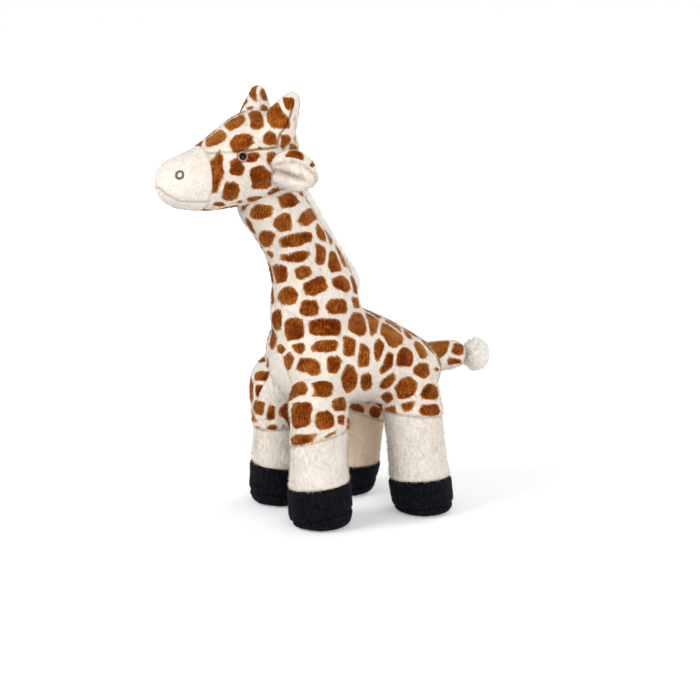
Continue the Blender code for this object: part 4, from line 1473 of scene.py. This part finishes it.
# Ears: distance out, half height, half thickness and rise of the middle, in shares of the length.
# The crease and the lobes beside it fade toward the tip, and a hem runs where the lining meets the back.
ear = {
    "length": 0.0300,
    "out": Vector((0.839, 0.545, 0)),
    "voxel": 0.0009,
    "shares": [
        (-0.10, 0.27, 0.12, 0.067),
        (0.0, 0.315, 0.15, 0.067),
        (0.17, 0.405, 0.185, 0.077),
        (0.40, 0.455, 0.215, 0.087),
        (0.63, 0.425, 0.21, 0.073),
        (0.83, 0.315, 0.165, 0.040),
        (0.965, 0.165, 0.10, 0.0),
        (1.01, 0.05, 0.035, -0.015),
    ],
    "crease": [(0.0, 0.0011), (0.42, 0.0001), (0.72, -0.0024), (0.86, -0.0042)],
    "creaseDepth": 0.0032,
    "creaseWidth": 0.0019,
    "creaseShade": 0.38,
    "tipFade": (0.92, 0.60),
    "frontFade": (-0.001, 0.002),
    "lobes": [(-0.006, 0.0045, 0.0012), (0.0055, 0.004, 0.0014)],
    "hem": 0.0010,
    "hemIn": (0.0003, 0.0006),
    "hemShade": 0.35,
    "lumps": (0.009, 0.00035),
    "liningTop": (0.0088, 0.0055),
    "liningWay": (-0.354, 0.935),
}
earPatches = [(294.5, 157, 19, 14, 0), (313.5, 163, 6, 9, 0)]


def earSkin():
    long = ear["length"]
    stations = []
    for reach, high, thick, rise in ear["shares"]:
        stations.append((Vector((rise, 0, reach)) * long, 0, high * long, thick * long))
    form = growForm("earSkin", stations)
    remesh(form, ear["voxel"])
    smooth(form, 3)
    subdivide(form, 1)
    points = pointsOf(form.data)
    high, thick, reach = points.T
    line = np.interp(reach / long, *zip(*ear["crease"]))
    fading = soften(reach / long, *ear["tipFade"]) * soften(thick, *ear["frontFade"])
    crease = bell(high - line, ear["creaseWidth"]) * fading
    lobes = sum(bell(high - line - rise, width) * fading * depth for rise, width, depth in ear["lobes"])
    (topHigh, topThick), (wayHigh, wayThick) = ear["liningTop"], ear["liningWay"]
    hem = bell((high - topHigh) * wayHigh + (thick - topThick) * wayThick, ear["hem"])
    points[:, 1] += -crease * ear["creaseDepth"] + lobes - hem * ear["hemIn"][1] * np.sign(thick)
    points[:, 0] += -hem * ear["hemIn"][0] * np.sign(high)
    setPoints(form.data, points)
    pushOut(form, lumpsOf(points, 31, ear["lumps"]))
    # shade painted along the crease and the hem
    setField(form.data, "seamShade", np.maximum(crease * ear["creaseShade"], hem * ear["hemShade"]))
    turn = turnTo(up, ear["out"].cross(up), ear["out"])
    return landed(form, Matrix.Translation(joints["ear_left_flap"]) @ turn)


def liningSide(side):
    # plane between the spotted back and the cream front of an ear
    root = joints["ear_left_flap" if side > 0 else "ear_right_flap"]
    face = Vector((ear["out"].cross(up).x * side, ear["out"].cross(up).y, 0))
    normal = up * ear["liningWay"][0] + face * ear["liningWay"][1]
    return root + up * ear["liningTop"][0] + face * ear["liningTop"][1], normal.normalized()


def makeEars():
    left = earSkin()
    layPatches(left, treeOf(left), earPatches, "ear", 9)
    right = linked("earSkin", left.data.copy())
    right.data.transform(Matrix.Scale(-1, 4, leftward))
    right.data.flip_normals()
    for side, word, skin in ((1, "Left", left), (-1, "Right", right)):
        keepNormals(skin)
        plane = liningSide(side)
        cutSkin(skin, [(plane, anywhere)])
        front, back = "ear" + word + "Front", "ear" + word + "Back"
        made = splitSkin(skin, lambda centres: np.where(along(centres, plane) > 0, front, back))
        pieces.update(made)
        body = "ear_" + word.lower()
        cover(front, *cream, [body], [body + "_front"], 0.7, 1.5)
        cover(back, *spotted, [body], [body + "_back"], 0.7, 1.0)
    print("ears made")


# Eyes: height above the face and radius, from the pressed-in rim to the top of the dome
eye = {
    "radius": 0.0038,
    "shares": [
        (-0.35, 0.90), (-0.10, 0.99), (0.08, 1.0), (0.24, 0.93),
        (0.42, 0.74), (0.54, 0.48), (0.60, 0.20), (0.61, 0.05),
    ],
    "sunk": 0.0012,
    "pupilEdge": (2.33, 2.57),
    "ringEdge": (3.35, 3.70),
    "pupil": (0.004, 0.004, 0.005),
    "ring": [(0.35, (0.30, 0.12, 0.10)), (0.65, (0.60, 0.33, 0.28))],
    # dark band round the eye's edge: a painted shadow where the eye sits in the pile
    "rim": (0.035, 0.012, 0.008),
}


def eyeMaterial():
    material, tree, shader = newMaterial("eyePlastic", 0.06, 0.12)
    away, place = fieldOf(tree, "fromMiddle"), objectPlace(tree)
    ring = ramp(tree, noise(tree, 0.0007, place, 3.0), *eye["ring"])
    inner = mixed(tree, spread(tree, away, *eye["pupilEdge"]), eye["pupil"], ring)
    # beyond the ring the eye is painted dark, as the shadow round it
    colour = mixed(tree, spread(tree, away, *eye["ringEdge"]), inner, eye["rim"])
    paint(tree, shader, colour, noise(tree, 0.0018, place, 3.0), 0.00003, 0.1)
    return material


def makeEyes():
    material = eyeMaterial()
    radius = eye["radius"]
    stations = [(up * height * radius, 0, share * radius, share * radius) for height, share in eye["shares"]]
    for (place, normal), word in zip(eyeSeats, ("Left", "Right")):
        piece = growForm("eye" + word, stations)
        subdivide(piece, 1)
        setField(piece.data, "fromMiddle", lengthsOf(pointsOf(piece.data)[:, :2]) * 1000)
        smoothShaded(landed(piece, facing(place - normal * eye["sunk"], normal)))
        dress(piece, material)
        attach(piece, "head")
        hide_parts("eye_" + word.lower())
    print("eyes made")


# Nostrils, embroidered rings of side-by-side stitches round a cream middle
nostril = {
    "stitches": 30,
    "radius": 0.00258,
    "tall": 0.90,
    "half": (0.00085, 0.00034, 0.00038),
    "lift": -0.00035,
    "tipped": 0.12,
    "reaches": (0.96, 1.04),
    "stray": 0.2,
    "strands": [(0.38, (0.065, 0.030, 0.030)), (0.55, (0.17, 0.085, 0.080)), (0.70, (0.36, 0.23, 0.20))],
}


def threadMaterial():
    material, tree, shader = newMaterial("brownThread", 0.5, 0.4, 0.4, 0.35)
    place = objectPlace(tree)
    strands = ramp(tree, noise(tree, 0.0006, place, 3.0), *nostril["strands"])
    paint(tree, shader, strands, noise(tree, 0.00025, place), 0.0002, 0.5)
    return material


def makeNostrils():
    material = threadMaterial()
    for (place, normal), word in zip(nostrilSeats, ("Left", "Right")):
        jitter = random.Random(41)
        seat = facing(place + normal * nostril["lift"], normal)
        matrices = []
        for index in range(nostril["stitches"]):
            angle = math.tau * index / nostril["stitches"]
            reach = nostril["radius"] * jitter.uniform(*nostril["reaches"])
            middle = Vector((math.cos(angle) * reach * nostril["tall"], math.sin(angle) * reach, 0))
            turn = Matrix.Rotation(angle + jitter.uniform(-nostril["stray"], nostril["stray"]), 4, "Z")
            tip = Matrix.Rotation(nostril["tipped"], 4, "Y")
            matrices.append(seat @ Matrix.Translation(middle) @ turn @ tip)
        piece = copies("nostril" + word, stitchOf(8, 6, nostril["half"]), matrices)
        dress(piece, material)
        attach(piece, "head")
        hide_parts("nostril_" + word.lower())
    print("nostrils made")


# Stitches that show across the muzzle seam
stitchRow = {
    "pitch": 0.0019,
    "half": (0.00018, 0.00085, 0.00018),
    "lift": -0.0001,
    "slant": 0.35,
    "stray": 0.25,
    "atSeam": 0.0004,
}


def makeStitches():
    muzzle = pieces["muzzlePanel"].data
    points, normals = pointsOf(muzzle), normalsOf(muzzle)
    rim = np.nonzero(np.abs(along(points, muzzleSeam)) < stitchRow["atSeam"])[0]
    middle = points[rim].mean(axis=0)
    rim = rim[np.argsort(np.arctan2(points[rim, 2] - middle[2], points[rim, 0] - middle[0]))]
    jitter = random.Random(81)
    matrices = []
    last = None
    for index in rim:
        place, normal = Vector(points[index]), Vector(normals[index])
        if last is not None and (place - last).length < stitchRow["pitch"]:
            continue
        last = place
        across = (ahead - normal * ahead.dot(normal)).normalized()
        turn = turnTo(across.cross(normal), across, normal)
        slant = stitchRow["slant"] + jitter.uniform(-stitchRow["stray"], stitchRow["stray"])
        seat = Matrix.Translation(place + normal * stitchRow["lift"])
        matrices.append(seat @ turn @ Matrix.Rotation(slant, 4, "Z"))
    row = copies("muzzleStitches", stitchOf(6, 5, stitchRow["half"]), matrices)
    dress(row, whitePile)
    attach(row, "head")
    print("stitches made")


# Mane: a felt strip along the back of the head and neck. Height on the toy, and how far it stands proud.
mane = {
    "halfWidth": 0.0013,
    "sunk": 0.0020,
    "headFoot": 0.2285,
    "wavy": [(0.006, 0.0006), (0.0025, 0.0005, 2)],
    "heights": [
        (0.1490, 0.0006), (0.1515, 0.0040), (0.1560, 0.0074), (0.1620, 0.0072), (0.1690, 0.0056), (0.1780, 0.0044),
        (0.1900, 0.0046), (0.2020, 0.0056), (0.2140, 0.0058), (0.2260, 0.0054), (0.2380, 0.0052), (0.2500, 0.0054),
        (0.2600, 0.0052), (0.2680, 0.0044), (0.2740, 0.0024), (0.2765, 0.0004),
    ],
}


def backAt(height):
    # the hindmost place of the skins at a height
    hits = [tree.ray_cast(Vector((0, 0.2, height)), ahead)[0] for tree in (bodyTree, headTree)]
    return max([place for place in hits if place is not None], key=lambda place: place.y)


def maneForm():
    backs = [backAt(height) for height, _ in mane["heights"]]
    stations = []
    for index, (height, proud) in enumerate(mane["heights"]):
        before, after = backs[max(index - 1, 0)], backs[min(index + 1, len(backs) - 1)]
        way = (after - before).normalized()
        outward = Vector((0, way.z, -way.y))
        reach = (proud + mane["sunk"]) / 2
        middle = backs[index] + outward * (proud - mane["sunk"]) / 2
        stations.append((middle, math.atan2(-way.y, way.z), mane["halfWidth"], reach))
    return growForm("mane", stations)


def makeMane():
    strip = maneForm()
    subdivide(strip, 2)
    pushOut(strip, lumpsOf(pointsOf(strip.data), 51, *mane["wavy"]))
    keepNormals(strip)
    top = levelAt(mane["headFoot"])
    cutSkin(strip, [(neckHalf, anywhere), (top, anywhere)])

    def labels(centres):
        names = np.full(len(centres), "maneLower", dtype="U32")
        names[along(centres, neckHalf) > 0] = "maneUpper"
        names[along(centres, top) > 0] = "maneHead"
        return names

    pieces.update(splitSkin(strip, labels))
    white = (whitePile, "white_pile")
    cover("maneLower", *white, neckBend, ["mane_neck"], None, 1.0)
    cover("maneUpper", *white, headNod, [], None, 1.0)
    cover("maneHead", *white, ["head"], ["mane_head"], None, 1.0)
    print("mane made")


# Tail tuft: a lumpy ball of white pile with loose strands, whose curl and rise are shares of their length
tuft = {
    "middle": Vector((0, 0.1165, 0.0970)),
    "half": Vector((0.0098, 0.0084, 0.0112)),
    "lumps": [(0.0075, 0.0013), (0.0028, 0.0013 / 3)],
    "strands": 900,
    "strandLong": 0.0040,
    "strandWide": 0.00042,
    "strandSizes": (0.55, 1.1),
    "curl": 0.35,
    "rise": 0.25,
    "stray": 0.7,
}


def tuftCore():
    deselectAll()
    bpy.ops.mesh.primitive_ico_sphere_add(subdivisions=6, radius=1)
    ball = bpy.context.object
    with editing():
        bpy.ops.transform.resize(value=tuft["half"])
        bpy.ops.transform.translate(value=tuft["middle"])
    ball.name = "tuftCore"
    pushOut(ball, lumpsOf(pointsOf(ball.data), 61, *tuft["lumps"]))
    return smoothShaded(ball)


def tuftStrand():
    long = tuft["strandLong"]
    bpy.ops.mesh.primitive_cone_add(
        vertices=5, radius1=tuft["strandWide"], radius2=0, depth=long, end_fill_type="NOTHING"
    )
    strand = bpy.context.object
    with editing():
        bpy.ops.mesh.subdivide(number_cuts=2)
    points = pointsOf(strand.data)
    points[:, 0] += (points[:, 2] / long + 0.5) ** 2 * long * tuft["curl"]
    points[:, 2] += long * tuft["rise"]
    setPoints(strand.data, points)
    return strand


def makeTuft():
    ball, strand = tuftCore(), tuftStrand()
    jitter = random.Random(71)
    stray = tuft["stray"]
    points, normals = pointsOf(ball.data), normalsOf(ball.data)
    matrices = []
    for _ in range(tuft["strands"]):
        spot = jitter.randrange(len(points))
        outward = Vector(normals[spot]) + Vector([jitter.uniform(-stray, stray) for _ in range(3)])
        turn = Matrix.Rotation(jitter.uniform(0, math.tau), 4, "Z")
        size = Matrix.Scale(jitter.uniform(*tuft["strandSizes"]), 4)
        matrices.append(facing(Vector(points[spot]), outward.normalized()) @ turn @ size)
    for piece in (ball, copies("tuftStrands", strand, matrices)):
        dress(piece, whitePile)
        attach(piece, "tail")
    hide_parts("tail_tuft")
    print("tuft made")


makeEars()
makeEyes()
makeNostrils()
makeStitches()
makeMane()
makeTuft()


# Light, floor and white surroundings
studio = {
    "lamps": [
        ("key", (0.05, -1.22, 0.98), 0.8, 11.5),
        ("fill", (1.3, -0.10, 0.50), 1.1, 8.5),
        ("rim", (-0.2, 1.1, 0.9), 0.9, 6.5),
    ],
    "aim": Vector((0, 0, 0.14)),
    "sky": 0.52,
    "floorSize": 12.0,
    "floorColour": (0.80, 0.80, 0.81, 1),
    "floorHeight": -0.0005,
    "floorLift": 0.28,
    "floorFade": (0.35, 0.95),
}


def rayIs(tree, *kinds):
    # one where the ray is of one of the kinds, and otherwise zero
    path = node(tree, "ShaderNodeLightPath")
    shown = path.outputs[kinds[0]]
    for kind in kinds[1:]:
        shown = maths(tree, "MAXIMUM", shown, path.outputs[kind])
    return shown


def lightStudio():
    for name, place, size, power in studio["lamps"]:
        lamp = linked(name, bpy.data.lights.new(name, "AREA"))
        lamp.data.shape = "DISK"
        lamp.data.size = size
        lamp.data.energy = power
        lamp.location = place
        lamp.rotation_euler = (studio["aim"] - lamp.location).to_track_quat("-Z", "Y").to_euler()
        lamp.visible_camera = False
    world = bpy.data.worlds.new("surroundings")
    bpy.context.scene.world = world
    world.use_nodes = True
    tree = world.node_tree
    tree.nodes.clear()
    shown = rayIs(tree, "Is Camera Ray", "Is Glossy Ray", "Is Transmission Ray")
    strength = maths(tree, "ADD", studio["sky"], maths(tree, "MULTIPLY", shown, 1 - studio["sky"]))
    sky = node(tree, "ShaderNodeBackground", {"Color": (1, 1, 1, 1), "Strength": strength})
    node(tree, "ShaderNodeOutputWorld", {"Surface": sky.outputs[0]})
    print("lamps and surroundings set")


def layFloor():
    # lifted to white away from the part, for the camera and for reflections
    deselectAll()
    bpy.ops.mesh.primitive_plane_add(size=studio["floorSize"], location=(0, 0, studio["floorHeight"]))
    floor = bpy.context.object
    floor.name = "floor"
    material, tree, shader = newMaterial("paleFloor", 0.9, 0.1)
    shader.inputs["Base Color"].default_value = studio["floorColour"]
    away = vectors(tree, "LENGTH", {0: objectPlace(tree)})["Value"]
    lift = maths(tree, "ADD", studio["floorLift"], spread(tree, away, *studio["floorFade"]))
    lift = maths(tree, "MULTIPLY", rayIs(tree, "Is Camera Ray", "Is Glossy Ray"), lift)
    glow = node(tree, "ShaderNodeEmission", {"Color": (1, 1, 1, 1), "Strength": lift})
    both = node(tree, "ShaderNodeAddShader", {0: shader.outputs[0], 1: glow.outputs[0]})
    tree.links.new(both.outputs[0], tree.nodes["Material Output"].inputs["Surface"])
    floor.data.materials.append(material)
    print("floor laid")


lightStudio()
layFloor()
bpy.context.scene.view_settings.view_transform = "Standard"
